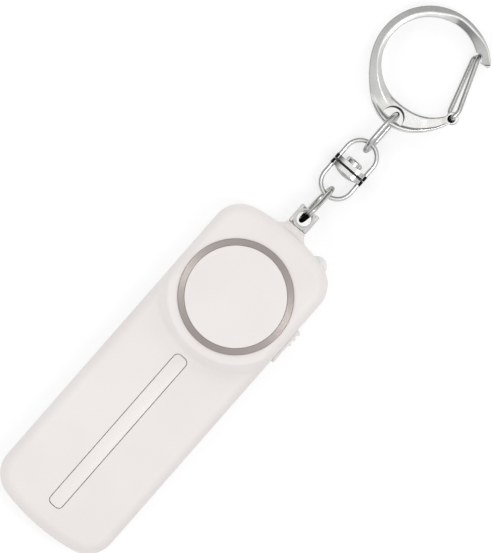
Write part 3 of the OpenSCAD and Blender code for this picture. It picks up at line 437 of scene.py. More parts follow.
def case_outline(inset):
    """The case's outline drawn in by inset, with close points beside the turret's step."""
    side = [(half_w - inset, -half_w / math.tan(math.radians(a))) for a in range(20, 91)]
    return (
        arc(corner_x, bottom_corner_y, corner_r - inset, -bottom_turn, 0, 18)
        + side
        + arc(corner_x, top_corner_y, corner_r - inset, 0, top_turn, 18)
        + arc(0, top_arch_y, top_arch_r - inset, top_turn, 180 - top_turn, 30)[1:-1]
        + arc(-corner_x, top_corner_y, corner_r - inset, 180 - top_turn, 180, 18)
        + [(-x, y) for x, y in reversed(side)]
        + arc(-corner_x, bottom_corner_y, corner_r - inset, 180, 180 + bottom_turn, 18)
        + arc(0, bottom_arch_y, bottom_arch_r - inset, 180 + bottom_turn, 360 - bottom_turn, 30)[1:-1]
    )


def soft_step(t):
    """Rises from 0 to 1 with level ends."""
    t = min(max(t, 0.0), 1.0)
    return t * t * (3 - 2 * t)


def front_height(x, y):
    """Height of the front face, where the turret's level falls to the handle in one soft step."""
    reach = 0.0 if y >= 0 else math.hypot(x * turret_r / half_w, y)
    return handle_t + head_rise * soft_step(1 - (reach - turret_r) / step_w)


def level_ring(inset, z):
    """The case's outline drawn in by inset, at one height."""
    return [(x, y, z) for x, y in case_outline(inset)]


def edge_ring(turn):
    """One ring of the rounded front edge, 0 at the wall and 90 on the face."""
    drop = front_edge_r * (1 - math.sin(math.radians(turn)))
    flat = case_outline(front_edge_r * (1 - math.cos(math.radians(turn))))
    return [(x, y, front_height(x, y) - drop) for x, y in flat]


def field_ring(share):
    """One ring of the front face: share 0 is the foot of the step, 1 its brow."""
    ring = []
    for x, y in case_outline(front_edge_r):
        length = math.hypot(x, y)
        squeeze = math.hypot(x * turret_r / half_w, y) / length
        foot = min((turret_r + step_w) / squeeze, length - rim_w)
        brow = min(turret_r / squeeze, foot - brow_w)
        reach = (foot + (brow - foot) * share) / length
        ring.append((x * reach, y * reach, front_height(x * reach, y * reach)))
    return ring


def core_ring(radius):
    """A round ring in the middle of the turret's face."""
    ring = []
    for x, y in case_outline(front_edge_r):
        reach = radius / math.hypot(x, y)
        ring.append((x * reach, y * reach, handle_t + head_rise))
    return ring


def carve(piece, tool_mesh, way="DIFFERENCE"):
    """Cuts a tool's form from a piece, or joins it to it."""
    tool = placed("tool", tool_mesh)
    cut = piece.modifiers.new("carve", "BOOLEAN")
    cut.solver = "EXACT"
    cut.operation = way
    cut.object = tool
    graph = bpy.context.evaluated_depsgraph_get()
    shaped = bpy.data.meshes.new_from_object(piece.evaluated_get(graph))
    piece.modifiers.clear()
    piece.data = shaped
    bpy.data.objects.remove(tool)


def carved_mesh(piece):
    """The mesh of a carved form, whose own object is no longer needed."""
    mesh = piece.data
    bpy.data.objects.remove(piece)
    return mesh


def even_shading(piece):
    """Shades a carved piece by its large faces."""
    even = piece.modifiers.new("even_shading", "WEIGHTED_NORMAL")
    even.keep_sharp = True


def turned_about_z(profile, centre_x, centre_y, sides):
    """Rings of a turned form about an upright line, from (radius, z) pairs with rising z."""
    rings = []
    for radius, z in profile:
        turns = [2 * math.pi * j / sides for j in range(sides)]
        rings.append([(centre_x + radius * math.cos(t), centre_y + radius * math.sin(t), z) for t in turns])
    return rings


def rounded_slot(width, length, radius, centre_y, low, high, lip):
    """A slot cutter with round corners, flared by lip at the case's face."""
    rings = []
    face = handle_t - lip
    for grow, z in ((0.0, low), (0.0, face), (lip, handle_t), (lip + high - handle_t, high)):
        ring = []
        x, y, r = width / 2 - radius, length / 2 - radius, radius + grow
        for sx, sy, start in ((1, 1, 0), (-1, 1, 90), (-1, -1, 180), (1, -1, 270)):
            ring += [(px, py, z) for px, py in arc(sx * x, centre_y + sy * y, r, start, start + 90, 10)]
        rings.append(ring)
    return loft(rings)


def block(low, high):
    """A plain box tool between two corners."""
    rings = []
    for z in (low[2], high[2]):
        rings.append([(low[0], low[1], z), (high[0], low[1], z), (high[0], high[1], z), (low[0], high[1], z)])
    return loft(rings)


core_r = 9.0
front_rings = [level_ring(seam, part_z), level_ring(0, part_z + seam)]
front_rings += [edge_ring(90 * k / 14) for k in range(15)]
front_rings += [field_ring(k / 16) for k in range(17)]
front_rings.append(core_ring(core_r))
front_shell = placed("front_shell", loft(front_rings))
hollow_rings = [level_ring(wall, part_z - 1)]
for k in range(7):
    turn = math.radians(15 * k)
    hollow_rings.append(
        level_ring(wall + inner_edge_r * (1 - math.cos(turn)), roof_z - inner_edge_r * (1 - math.sin(turn)))
    )
carve(front_shell, loft(hollow_rings))

boss_r, screw_hole_r, boss_sink = 2.4, 1.02, 0.4
boss_x, boss_low_y, boss_high_y = half_w - wall - boss_r + 0.3, -16.8, 7.8
boss_places = [(side * boss_x, y) for y in (boss_low_y, boss_high_y) for side in (-1, 1)]
for x, y in boss_places:
    boss = turned_about_z([(boss_r, part_z), (boss_r, roof_z + boss_sink)], x, y, 40)
    carve(front_shell, loft(boss), "UNION")

collar_top_r, collar_foot_r, collar_h, bore_r = 2.85, 4.9, 1.75, 1.33
collar_sink, collar_edge = 0.5, 0.12
collar_profile = [(collar_foot_r, top_y - 2 * collar_sink)]
for k in range(15):
    t = k / 14
    collar_r = collar_top_r + (collar_foot_r - collar_top_r) * (1 - t) ** 2
    collar_profile.append((collar_r, top_y - collar_sink + (collar_h + collar_sink) * t))
collar_profile[-1] = (collar_top_r - collar_edge, top_y + collar_h)
collar_profile.insert(-1, (collar_top_r, top_y + collar_h - collar_edge))
collar_half = placed("collar_half", loft(turned_about_y(collar_profile, 0, part_z, 96)))
carve(collar_half, block((-9, 10, -9), (9, 30, part_z)))
carve(front_shell, carved_mesh(collar_half), "UNION")

sound_r, pocket_r, seat_r, seat_edge = 10.6, 13.9, 14.26, 0.03
ledge_z, seat_z, face_z = 14.1, 15.3, handle_t + head_rise
seat_profile = [
    (pocket_r, roof_z - 1.5), (pocket_r, ledge_z), (sound_r, ledge_z), (sound_r, seat_z),
    (seat_r, seat_z), (seat_r, face_z - seat_edge), (seat_r + seat_edge, face_z),
    (seat_r + seat_edge + 0.5, face_z + 0.5),
]
carve(front_shell, loft(turned_about_z(seat_profile, 0, 0, 144)))
strip_y, strip_w, strip_len, strip_r, strip_gap = -43.635, 3.65, 47.95, 1.2, 0.2
slot_floor, slot_top, slot_lip = 13.2, 14.6, 0.05
slot_tool = rounded_slot(
    strip_w + 2 * strip_gap, strip_len + 2 * strip_gap, strip_r + strip_gap, strip_y,
    slot_floor, slot_top, slot_lip,
)
carve(front_shell, slot_tool)
for x, y in boss_places:
    pilot = turned_about_z([(screw_hole_r, part_z - 1), (screw_hole_r, roof_z - boss_sink)], x, y, 28)
    carve(front_shell, loft(pilot))
bore = turned_about_y([(bore_r, top_y - 4), (bore_r, top_y + 6)], 0, part_z, 48)
carve(front_shell, loft(bore))
lamp_hole_r = 2.6
lamp_hole = turned_about_y([(lamp_hole_r, lamp_base_y), (lamp_hole_r, lamp_base_y + 12)], lamp_x, lamp_z, 56)
carve(front_shell, loft(lamp_hole))
bezel_y, bezel_half, bezel_low, bezel_high = -1.1, 4.55, 4.45, 9.55
bezel_hole = block(
    (half_w - wall - 1, bezel_y - bezel_half, bezel_low), (half_w + 1, bezel_y + bezel_half, bezel_high)
)
carve(front_shell, bezel_hole)
front_mesh = carved_mesh(front_shell)
smooth_shading(front_mesh, 31)
even_shading(add_piece("front_shell", front_mesh, case_white, "case", "case_plastic", "front_cover"))


# Sounder front: a turned metal trim ring pressed into the turret round a plain white disc.
# The ring keeps the fine circles that the turning tool left.
def flat_reach(tree, centre=(0, 0, 0)):
    """How far a point is from an upright line: the node that takes the line's place and the length."""
    apart = add_node(tree, "VectorMath", {1: centre}, operation="SUBTRACT")
    flat = add_node(tree, "VectorMath", {1: (1.0, 1.0, 0.0)}, operation="MULTIPLY")
    reach = add_node(tree, "VectorMath", operation="LENGTH")
    join(add_node(tree, "TexCoord"), "Object", apart, 0)
    join(apart, 0, flat, 0)
    join(flat, 0, reach, 0)
    return apart, reach


turned_circles, circles_in, circles_tone, circles_wear, circles_out = surface_group(
    "turned_circles", 0.3, 0.7
)
circles_lines = add_node(turned_circles, "TexNoise", {"Detail": 2.0}, noise_dimensions="1D")
join(flat_reach(turned_circles)[1], "Value", circles_lines, "W")
join(circles_in, "Fineness", circles_lines, "Scale")
join(circles_lines, 0, circles_tone, MIX_FACTOR)
join(circles_lines, 0, circles_wear, "Value")
join(circles_lines, 0, circles_out, "Height")

circle_pitch = 1 / 9
ring_turned, ring_tree, ring_shader, _ = skinned(
    "ring_turned", turned_circles, (182, 174, 170), (168, 159, 156), 0.34, 0.44, circle_pitch, 0.002
)
set_sockets(ring_shader, {"Metallic": 1.0, "Anisotropic": 0.85, "Anisotropic Rotation": 0.25})
ring_grain = add_node(ring_tree, "Tangent", direction_type="RADIAL", axis="Z")
join(ring_grain, "Tangent", ring_shader, "Tangent")
finish_node(ring_turned, "sounder_ring")
cap_r, disc_r = 12.5, 12.57
disc_mesh = dressed_copy("sounder_cap")
disc_mesh.transform(Matrix.Diagonal((disc_r / cap_r, disc_r / cap_r, 1, 1)))
add_piece("sounder_disc", disc_mesh, case_white, "case", "case_plastic", "sounder_cap")


# Front strip: a long narrow inlay of the same white plastic, pressed into its slot in the
# handle and outlined by the thin gap round it.
strip_white = moulded_plastic("strip_white", (237, 232, 230), (234, 229, 227), 0.3, 0.42, 0.2, 0.003)
dress("strip_inlay", "front_strip", 0.08, strip_white, "case", "strip_plastic")


# Slide switch: a white bezel clipped into the side of the case, and a ridged thumb that runs
# in its slot and carries the switch's lever.
dress("bezel_frame", "switch_bezel", 0.12, case_white, "case", "case_plastic")
dress("thumb_slide", "switch_thumb", 0.1, case_white, "switch", "case_plastic")


# Battery door and screws: the door is a flat white plate that clips into the back, with grip
# ribs on its latch, and four steel screws pull the two covers together.
dress("door_plate", "battery_door", 0.12, case_white, "door", "case_plastic")
screw_steel = plated_metal("screw_steel", (190, 191, 192), (158, 158, 158), 0.24, 0.4, 0.2, 0.003)
dress("screw_set", "case_screws", 0.05, screw_steel, "case", "screw_steel")


# Pull pin and chain: a turned pin with a countersunk cross hole that stays matt and frosted, two
# bent wire links and a swivel with a rivet, all nickel plated. The lower link gets painted shade,
# near black, where it runs through the pin's hole.
cross_hole_y, sink_r = 25.3, 2.62
pin_nickel, pin_tree, pin_shader, pin_skin = plated(
    "pin_nickel", (230, 229, 227), (214, 212, 209), 0.2, 0.32, 0.25, 0.0006
)
pin_reach = flat_reach(pin_tree, (0, cross_hole_y * MM, 0))[1]
in_sink = worked(pin_reach, "Value", "LESS_THAN", sink_r * MM)
sink_dull = add_node(pin_tree, "MapRange", {"To Max": 0.8})
sink_frost = add_node(pin_tree, "MapRange", {"To Min": 1.0, "To Max": 0.4})
join(pin_skin, "Roughness", sink_dull, "To Min")
for finish, socket in ((sink_dull, "Roughness"), (sink_frost, "Metallic")):
    join(in_sink, 0, finish, "Value")
    join(finish, "Result", pin_shader, socket)
finish_node(pin_nickel, "pull_pin")
chain_finish = ((216, 216, 214), (200, 199, 196), 0.2, 0.3, 0.25, 0.0006)
chain_nickel = plated_metal("chain_nickel", *chain_finish)
finish_node(chain_nickel, "swivel_rivet", "upper_link")

# Painted shade: a group that darkens a colour to near black round an upright line, standing in for the shade
# inside holes and recesses.
painted_recess_shade, recess_in, recess_out = new_group(
    "painted_recess_shade",
    [("Colour", "Color"), ("Centre", "Vector"), ("Reach", "Float"), ("Inside", "Float"), ("Low", "Float")],
    [("Colour", "Color")],
)
recess_from, recess_reach = flat_reach(painted_recess_shade)
recess_fade = add_node(painted_recess_shade, "MapRange", {"To Min": 1.0, "To Max": 0.0})
recess_above = worked(place_split(painted_recess_shade), "Y", "GREATER_THAN")
recess_share = worked(recess_fade, "Result", "MULTIPLY")
recess_tone = add_node(painted_recess_shade, "Mix", {MIX_SECOND: shown_colour(20, 20, 20)}, data_type="RGBA")
join(recess_in, "Centre", recess_from, 1)
join(recess_reach, "Value", recess_fade, "Value")
join(recess_in, "Inside", recess_fade, "From Min")
join(recess_in, "Reach", recess_fade, "From Max")
join(recess_in, "Low", recess_above, 1)
join(recess_above, 0, recess_share, 1)
join(recess_share, 0, recess_tone, MIX_FACTOR)
join(recess_in, "Colour", recess_tone, MIX_FIRST)
join(recess_tone, MIX_RESULT, recess_out, "Colour")


def darken(material, x, y, inside, reach, low):
    """Paints shade on a material: blackens it round an upright line at x, y in mm, above the given y only,
    for the shade inside a hole or recess.
    """
    tree = material.node_tree
    shader = tree.nodes["Principled BSDF"]
    giver = shader.inputs["Base Color"].links[0].from_socket
    values = {"Centre": (x * MM, y * MM, 0), "Inside": inside * MM, "Reach": reach * MM, "Low": low * MM}
    dark = add_node(tree, "Group", values, node_tree=painted_recess_shade)
    tree.links.new(giver, dark.inputs["Colour"])
    join(dark, "Colour", shader, "Base Color")


# Painted shade: the lower link's colour goes near black round the pin's cross hole, for the shade inside the
# hole.
link_nickel_hole_shade = plated_metal("link_nickel_hole_shade", *chain_finish)
darken(link_nickel_hole_shade, 0, cross_hole_y, 1.3, 2.0, 0)
finish_node(link_nickel_hole_shade, "lower_link")


# Swivel halves: each is a wire bow staked into a small plate. The plates' ends and the faces that
# run against each other get painted shade, near black, and a thin black sheet in the gap between
# the plates stands for the shade there.
swivel_low, swivel_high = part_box("swivel_lower")
swivel_x = (swivel_low.x + swivel_high.x) / 2
plate_gap, plate_t, plate_half = 0.25, 1.3, 4.77
black_face, black_end, plate_spare = 0.18, 0.75, 0.02
gap_y = swivel_high.y + plate_gap / 2 * MM
swivel_nickel, swivel_tree, swivel_shader, swivel_skin = plated(
    "swivel_nickel", (226, 226, 224), (210, 209, 206), 0.18, 0.28, 0.25, 0.0006
)
# Painted shade: near black on the plate faces beside the gap and on the plates' ends.
swivel_split = place_split(swivel_tree)
gap_reach = worked(worked(swivel_split, "Y", "SUBTRACT", gap_y), 0, "ABSOLUTE")
in_gap = worked(gap_reach, 0, "LESS_THAN", (plate_gap / 2 + black_face) * MM)
in_plate = worked(gap_reach, 0, "LESS_THAN", (plate_gap / 2 + plate_t + plate_spare) * MM)
across_reach = worked(worked(swivel_split, "X", "SUBTRACT", swivel_x), 0, "ABSOLUTE")
at_end = worked(across_reach, 0, "GREATER_THAN", (plate_half - black_end) * MM)
plate_end = worked(in_plate, 0, "MULTIPLY")
join(at_end, 0, plate_end, 1)
painted_shade_parts = worked(plate_end, 0, "MAXIMUM")
join(in_gap, 0, painted_shade_parts, 1)
tint(swivel_skin, painted_shade_parts, (22, 22, 22), swivel_shader)
finish_node(swivel_nickel, "swivel_lower", "swivel_upper")
# Painted shade: a thin sheet of black plastic in the gap between the swivel's plates, standing in for the
# shade between them.
shade_sheet_in, shade_sheet_t = 0.12, 0.16
shade_sheet_x, shade_sheet_z = swivel_x / MM, (swivel_low.z + swivel_high.z) / 2 / MM
shade_sheet_r = (swivel_high.z - swivel_low.z) / 2 / MM - shade_sheet_in
shade_sheet_half = plate_half - shade_sheet_in
shade_sheet_rings = []
for y in (gap_y / MM - shade_sheet_t / 2, gap_y / MM + shade_sheet_t / 2):
    ring = []
    for side, start in ((-1, 90), (1, -90)):
        ends = arc(shade_sheet_x + side * (shade_sheet_half - shade_sheet_r), shade_sheet_z, shade_sheet_r, start, start + 180, 14)
        ring += [(x, y, z) for x, z in ends]
    shade_sheet_rings.append(ring[::-1])
shade_sheet_mesh = loft(shade_sheet_rings)
smooth_shading(shade_sheet_mesh, 40)
add_piece("swivel_gap_shade_sheet", shade_sheet_mesh, black_plastic, "swivel_lower", "black_plastic")


# Clip hook: a cast C-shaped hook with a swelling foot, an eye for the chain and a nose that
# the gate closes on. Zinc, tumbled smooth and nickel plated. The eye's far wall, the pivot dimple
# and the nose's notch get painted shade, near black, for the shade that falls into them.
hook_x, hook_y = -1.6, 17.01
hook_out_r, hook_in_r = 14.61, 11.9
eye_turn, eye_reach, eye_spread, lug_spread = -86.0, 3.3, 32.0, 43.0
lug_h, eye_h, hook_h = 1.7, 2.8, 3.6
hook_start, hook_end, nose_turn = -26.0, -321.6, 7.0
lug_in, nose_out, nose_in, tip_in = 1.1, 0.3, 0.1, 0.45
eye_rise, bar_rise, slope_rise, crest_rise = (-40, 18), (-108, 26), (-88, 22), (-136, 34)
foot_rise, late_rise, nose_rise = (-30, 8), (-238, 28), (-276, 32)
foot_fall, lug_fall = (-112, 16), (-90, 60)
crest_start, crest_end, crest_tip, crest_half = -0.28, 0.3, 0.8, 0.14
outer_slope, nose_slope, tip_slope = [math.tan(math.radians(turn)) for turn in (18, 27, 20)]
edge_small, edge_foot = 0.16, 0.5
dish_depth, dish_lip, dish_run = 0.3, 0.72, 0.22
clip_hinge_y, clip_hinge_z, clip_tilt = 56.9548, 3.59701, 3.1583
clip_place = Matrix.Translation(Vector((0, clip_hinge_y, clip_hinge_z)) * MM)
clip_place = clip_place @ Matrix.Rotation(math.radians(-clip_tilt), 4, "X")


def past(a, rise):
    """Rises from 0 to 1 on the way to the nose, from a start in degrees over a length in degrees."""
    start, length = rise
    return soft_step((start - a) / length)


def until(a, fall):
    """Falls from 1 to 0 on the way to the nose, down to an end in degrees over a length in degrees."""
    end, length = fall
    return soft_step((a - end) / length)


def hook_outer(a):
    """The outer radius, which swells at the eye and a little at the nose."""
    spread = eye_spread if a < eye_turn else lug_spread
    return hook_out_r + eye_reach * math.exp(-((a - eye_turn) / spread) ** 2) + nose_out * past(a, nose_rise)


def hook_inner(a):
    """The inner radius, which leaves the lug narrower than the bar."""
    return hook_in_r + lug_in * until(a, lug_fall) - nose_in * past(a, nose_rise)


def hook_height(a):
    """The thickness, from the flat lug over the eye to the full bar."""
    return lug_h + (eye_h - lug_h) * past(a, eye_rise) + (hook_h - eye_h) * past(a, bar_rise)


def into_nose(a, turn):
    """How far into the last few degrees a section is, up to 1 at the tip."""
    return max(0.0, (hook_end + turn - a) / turn)


def hook_ring(a):
    """One section of the hook: a bar with a flat crest, a slope on each side of it and small round
    edges. The foot has a dished face with a raised lip, and the crest runs out at the nose."""
    late, swell = past(a, late_rise), past(a, nose_rise)
    closing = math.sqrt(max(0.02, 1 - into_nose(a, nose_turn / 2) ** 2))
    tip_r = hook_out_r - tip_in
    far = tip_r + (hook_outer(a) - tip_r) * closing
    near = tip_r - (tip_r - hook_inner(a)) * max(0.05, 1 - into_nose(a, nose_turn))
    half = (far - near) / 2
    height = closing * hook_height(a) / 2
    foot = past(a, foot_rise) * until(a, foot_fall)
    edge_r = min(edge_small + edge_foot * foot, 0.4 * half, 0.45 * height)
    edge_turns = [math.radians(90 * k / 5) for k in range(6)]
    edge = [(1 - edge_r * (1 - math.cos(t)) / half, edge_r * (1 - math.sin(t))) for t in edge_turns]
    flat = 1 - edge_r / half
    places = edge + [(flat - 2 * flat * k / 21, 0.0) for k in range(1, 21)]
    places += [(-across, drop) for across, drop in reversed(edge)]
    crest = crest_start + (crest_end - crest_start) * late + (crest_tip - crest_end) * swell
    crest_flat = crest_half * past(a, crest_rise) * (1 - swell)
    inner_slope = outer_slope + (nose_slope - outer_slope) * late + (tip_slope - nose_slope) * swell
    upper, lower = [], []
    turn = math.radians(a)
    for across, drop in places:
        from_crest = max(0.0, abs(across - crest) - crest_flat) * half
        slope = outer_slope if across > crest else inner_slope
        fall = min(past(a, slope_rise) * slope * from_crest, 0.6 * height)
        dish = 1 - dish_depth * foot * soft_step((dish_lip - across) / dish_run)
        z = height * dish - fall - drop
        reach = (far + near) / 2 + half * across
        x, y = hook_x + reach * math.cos(turn), hook_y + reach * math.sin(turn)
        upper.append((x, y, z))
        lower.append((x, y, -z))
    return upper + lower[::-1]


hook_steps, nose_steps = 200, 16
nose_start = hook_end + nose_turn
hook_rings = [hook_ring(hook_end + nose_turn * k / nose_steps) for k in range(nose_steps)]
for k in range(hook_steps + 1):
    hook_rings.append(hook_ring(nose_start + (hook_start - nose_start) * k / hook_steps))
clip_form = placed("clip_form", loft(hook_rings))
gate_x, gate_y, gate_wire = 11.1287, 10.8293, 1.2
nose_x, nose_y = 6.0446, 26.5179
lug_r, lug_edge, pivot_r, through = 1.6, 0.2, 0.66, 5
lug_profile = [
    (lug_r - lug_edge, -lug_h / 2), (lug_r, -lug_h / 2 + lug_edge),
    (lug_r, lug_h / 2 - lug_edge), (lug_r - lug_edge, lug_h / 2),
]
carve(clip_form, loft(turned_about_z(lug_profile, gate_x, gate_y, 40)), "UNION")
eye_r, eye_low, eye_middle, eye_draft, eye_back = 2.8, 0.99, 1.24, 0.3, -0.2
eye_draft_low, eye_draft_high = -0.9, 1.2


def eye_ring(shift, z):
    """The eye's outline, round on the far side and straight on the chain's side."""
    side = math.degrees(math.asin((eye_low - eye_middle - shift) / eye_r))
    return [(x, y, z) for x, y in arc(0, eye_middle + shift, eye_r, side, 180 - side, 40)]


def round_hole(x, y, radius, sides):
    """Cuts a plain hole through the clip."""
    carve(clip_form, loft(turned_about_z([(radius, -through), (radius, through)], x, y, sides)))


eye_rings = [eye_ring(eye_back, -through), eye_ring(eye_back, eye_draft_low)]
eye_rings += [eye_ring(eye_draft, eye_draft_high), eye_ring(eye_draft, through)]
carve(clip_form, loft(eye_rings))
round_hole(gate_x, gate_y, pivot_r, 32)
dimple_x, dimple_y, dimple_r, dimple_draft, dimple_deep = gate_x - 0.1, gate_y - 0.3, 1.0, 0.25, 0.45
dimple = [(dimple_r - dimple_draft, lug_h / 2 - dimple_deep), (dimple_r, lug_h / 2), (dimple_r, through)]
carve(clip_form, loft(turned_about_z(dimple, dimple_x, dimple_y, 36)))
notch = gate_wire + 0.3
round_hole(nose_x, nose_y, notch / 2, 32)
nose_place = Matrix.Translation(Vector((nose_x, nose_y, 0)) * MM)
for turn, length, width in ((198, 3.0, notch), (-70, 4.0, notch + 0.2)):
    slot_mesh = block((0, -width / 2, -through), (length, width / 2, through))
    slot_mesh.transform(nose_place @ Matrix.Rotation(math.radians(turn), 4, "Z"))
    carve(clip_form, slot_mesh)
clip_mesh = carved_mesh(clip_form)
clip_mesh.transform(clip_place)
smooth_shading(clip_mesh, 38)
clip_nickel = plated_metal("clip_nickel", (236, 236, 234), (222, 221, 218), 0.2, 0.3, 0.4, 0.0008)
clip_flat = math.cos(math.radians(clip_tilt))
# Painted shade, near black, in the eye, the pivot dimple and the notch at the nose.
darken(
    clip_nickel, 0, clip_hinge_y + (eye_middle + eye_draft) * clip_flat, eye_r - 0.04, eye_r + 0.02,
    clip_hinge_y + eye_low * clip_flat + 0.03,
)
darken(clip_nickel, dimple_x, clip_hinge_y + dimple_y * clip_flat, dimple_r - 0.06, dimple_r, 0)
darken(clip_nickel, nose_x, clip_hinge_y + nose_y * clip_flat, notch / 2 + 0.04, notch / 2 + 0.14, 0)
even_shading(add_piece("clip_body", clip_mesh, clip_nickel, "clip", "clip_nickel", "clip_hook"))


# Clip gate: one hairpin of hard nickel-plated wire. Its two ends sit in the hook's pivot hole,
# and the pull of its offset legs springs it shut under the nose.
gate_z = lug_h / 2 + gate_wire / 2 + 0.1
gate_corners = [
    (gate_x, gate_y, 0.15), (gate_x, gate_y, gate_z), (gate_x + 0.1, gate_y + 2.2, gate_z),
    (nose_x + 0.4, nose_y - 1.1, gate_z), (nose_x, nose_y, 0.8), (nose_x, nose_y, -0.8),
    (nose_x - 0.7, nose_y - 1.1, -gate_z), (gate_x - 1.6, gate_y + 0.9, -gate_z), (gate_x, gate_y, -gate_z),
    (gate_x, gate_y, -0.15),
]


def bent_path(corners, reach, steps):
    """A path through corner points, each corner bent round at the given reach."""
    points = [Vector(p) for p in corners]
    path = [points[0]]
    for before, corner, after in zip(points, points[1:], points[2:]):
        start = corner + reach * (before - corner).normalized()
        end = corner + reach * (after - corner).normalized()
        for k in range(steps + 1):
            t = k / steps
            path.append((1 - t) ** 2 * start + 2 * t * (1 - t) * corner + t * t * end)
    path.append(points[-1])
    return path


def wire_rings(path, diameter, sides, side_way):
    """Rings of a round wire along a path; side_way is a direction that the path never takes."""
    rings = []
    for i, point in enumerate(path):
        way = (path[min(i + 1, len(path) - 1)] - path[max(i - 1, 0)]).normalized()
        across = way.cross(side_way).normalized()
        up = way.cross(across)
        turns = [2 * math.pi * j / sides for j in range(sides)]
        rings.append([point + diameter / 2 * (math.cos(t) * across + math.sin(t) * up) for t in turns])
    return rings


gate_mesh = loft(wire_rings(bent_path(gate_corners, 0.55, 8), gate_wire, 24, Vector((0.94, 0.34, 0))))
gate_mesh.transform(clip_place)
smooth_shading(gate_mesh, 40)
gate_steel = plated_metal("gate_steel", (204, 204, 202), (188, 187, 184), 0.22, 0.32, 0.25, 0.0006)
add_piece("gate_wire", gate_mesh, gate_steel, "gate", "chain_nickel", "clip_gate")


# Studio: a pale table top, a small soft box above the right side, five wider ones all round to fill
# the shade, and bent cards round the table, from dark to pale, that draw the edges of shiny pieces.
def seen_directly(tree):
    """1 for what the camera sees, straight or by way of a shiny or clear piece, and otherwise 0."""
    path = add_node(tree, "LightPath")
    seen = worked(path, "Is Camera Ray", "MAXIMUM")
    through_clear = worked(seen, 0, "MAXIMUM")
    join(path, "Is Glossy Ray", seen, 1)
    join(path, "Is Transmission Ray", through_clear, 1)
    return through_clear


table_white, table_tree, table_shader = new_material(
    "table_white", {"Roughness": 0.8, "Base Color": (0.8, 0.8, 0.8, 1.0), "Specular IOR Level": 0.1}
)
table_shade = add_node(table_tree, "BsdfDiffuse", {"Color": (0.45, 0.45, 0.45, 1.0)})
table_lift = add_node(table_tree, "Emission", {"Color": (1.0, 1.0, 1.0, 1.0), "Strength": 0.6})
table_sum = add_node(table_tree, "AddShader")
table_pick = add_node(table_tree, "MixShader")
table_under = add_node(table_tree, "NewGeometry")
table_clear = add_node(table_tree, "BsdfTransparent")
table_side = add_node(table_tree, "MixShader")
join(table_shade, 0, table_sum, 0)
join(table_lift, 0, table_sum, 1)
join(seen_directly(table_tree), 0, table_pick, 0)
join(table_shader, 0, table_pick, 1)
join(table_sum, 0, table_pick, 2)
join(table_under, "Backfacing", table_side, 0)
join(table_pick, 0, table_side, 1)
join(table_clear, 0, table_side, 2)
join(table_side, 0, table_tree.nodes["Material Output"], "Surface")

table_mesh = bpy.data.meshes.new("table_top")
table_half = 6.0
table_corners = [(x * table_half, y * table_half, 0) for x, y in ((-1, -1), (1, -1), (1, 1), (-1, 1))]
table_mesh.from_pydata(table_corners, [], [(0, 1, 2, 3)])
table_mesh.materials.append(table_white)
table = placed("table_top", table_mesh)
table.location = (0, 0, -0.1 * MM)
table.visible_diffuse = False
table.visible_shadow = False

world = bpy.data.worlds.new("studio")
world.use_nodes = True
scene.world = world
sky_tree = world.node_tree
sky = sky_tree.nodes["Background"]
sky.inputs["Color"].default_value = (1.0, 1.0, 1.0, 1.0)
sky_level = add_node(sky_tree, "MapRange", {"To Min": 0.67, "To Max": 1.0})
join(seen_directly(sky_tree), 0, sky_level, "Value")
join(sky_level, "Result", sky, "Strength")


def soft_box(name, place, width, height, power, spots):
    """A flat lamp that looks at the alarm, with or without its bright spot on shiny pieces."""
    lamp = bpy.data.lights.new(name, "AREA")
    lamp.shape = "RECTANGLE"
    lamp.size, lamp.size_y = width, height
    lamp.energy = power
    box = placed(name, lamp)
    box.location = place
    box.rotation_euler = Vector(place).to_track_quat("Z", "Y").to_euler()
    box.visible_glossy = spots


soft_box("box_key", (0.327, 0.0815, 0.834), 0.12, 0.34, 1.0, True)
soft_box("box_left", (-0.738, -0.392, 0.996), 0.4, 0.4, 0.8, False)
soft_box("box_edge", (-0.9, 0.22, 0.37), 0.4, 0.4, 1.2, False)
soft_box("box_low", (-0.126, -0.897, 0.4226), 0.4, 0.4, 1.55, False)
soft_box("box_side", (0.883, 0.0, 0.47), 0.4, 0.4, 1.0, False)
soft_box("box_end", (0.08, 0.92, 0.36), 0.4, 0.4, 1.8, False)


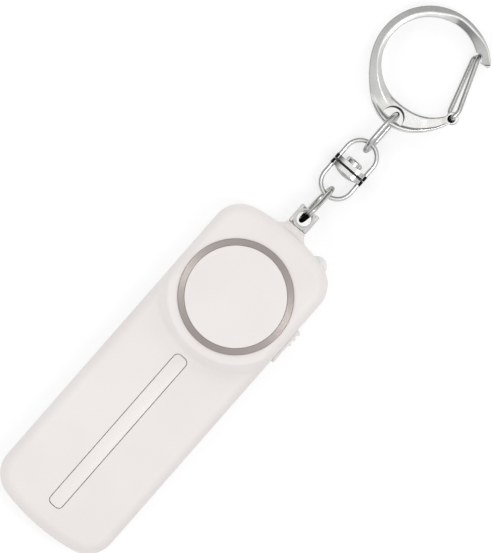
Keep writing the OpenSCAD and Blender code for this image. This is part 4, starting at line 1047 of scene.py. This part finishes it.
def card_paper(name, low_tone, high_tone, top):
    """Card that shows a grey rising from one tone at the table to another at its top edge."""
    material, tree, shader = new_material(
        name, {"Base Color": (0.0, 0.0, 0.0, 1.0), "Specular IOR Level": 0.0, "Emission Strength": 1.0}
    )
    rise = add_node(tree, "MapRange", {"From Min": 0.05, "From Max": top})
    low_grey, high_grey = [(level, level, level, 1.0) for level in (low_tone, high_tone)]
    tone = add_node(tree, "Mix", {MIX_FIRST: low_grey, MIX_SECOND: high_grey}, data_type="RGBA")
    join(place_split(tree), "Z", rise, "Value")
    join(rise, "Result", tone, MIX_FACTOR)
    join(tone, MIX_RESULT, shader, "Emission Color")
    return material


def bent_card(name, paper, radius, start, end, top):
    """An upright card bent round the table between two turns in degrees; only shiny pieces see it."""
    points, faces, steps = [], [], 48
    for j in range(steps + 1):
        turn = math.radians(start + (end - start) * j / steps)
        points += [(radius * math.cos(turn), radius * math.sin(turn), z) for z in (0.0, top)]
        if j < steps:
            faces.append((2 * j, 2 * j + 2, 2 * j + 3, 2 * j + 1))
    mesh = bpy.data.meshes.new(name)
    mesh.from_pydata(points, [], faces)
    mesh.materials.append(paper)
    card = placed(name, mesh)
    card.visible_camera = False
    card.visible_diffuse = False
    card.visible_shadow = False
    card.visible_volume_scatter = False


bent_card("edge_card", card_paper("card_mid", 0.3, 0.3, 0.13), 0.8, 0, 360, 0.13)
bent_card("side_card", card_paper("card_grey", 0.1, 0.7, 1.3), 0.78, 80, 286, 1.9)
bent_card("corner_card", card_paper("card_dark", 0.05, 0.14, 0.8), 0.76, 240, 293, 0.85)
bent_card("light_card", card_paper("card_pale", 0.66, 0.72, 1.3), 0.82, 286, 440, 1.3)


# Camera: a long lens straight above the alarm, turned so that the chain runs to the upper
# right, with the frame of the photograph.
image_high, pixel_mm = 553, 0.24453
view_x, view_y, view_z, view_turn = -1.4, 5.38, 10.0, 41.2
camera_data = bpy.data.cameras.new("camera")
camera_data.sensor_fit = "VERTICAL"
camera_data.sensor_height = 36.0
camera_data.lens = 1500.0
camera = placed("camera", camera_data)
away = image_high * pixel_mm * camera_data.lens / camera_data.sensor_height
camera.location = Vector((view_x, view_y, view_z + away)) * MM
camera.rotation_euler = (0, 0, math.radians(view_turn))
scene.camera = camera
scene.view_settings.view_transform = "Standard"

bpy.context.view_layer.update()
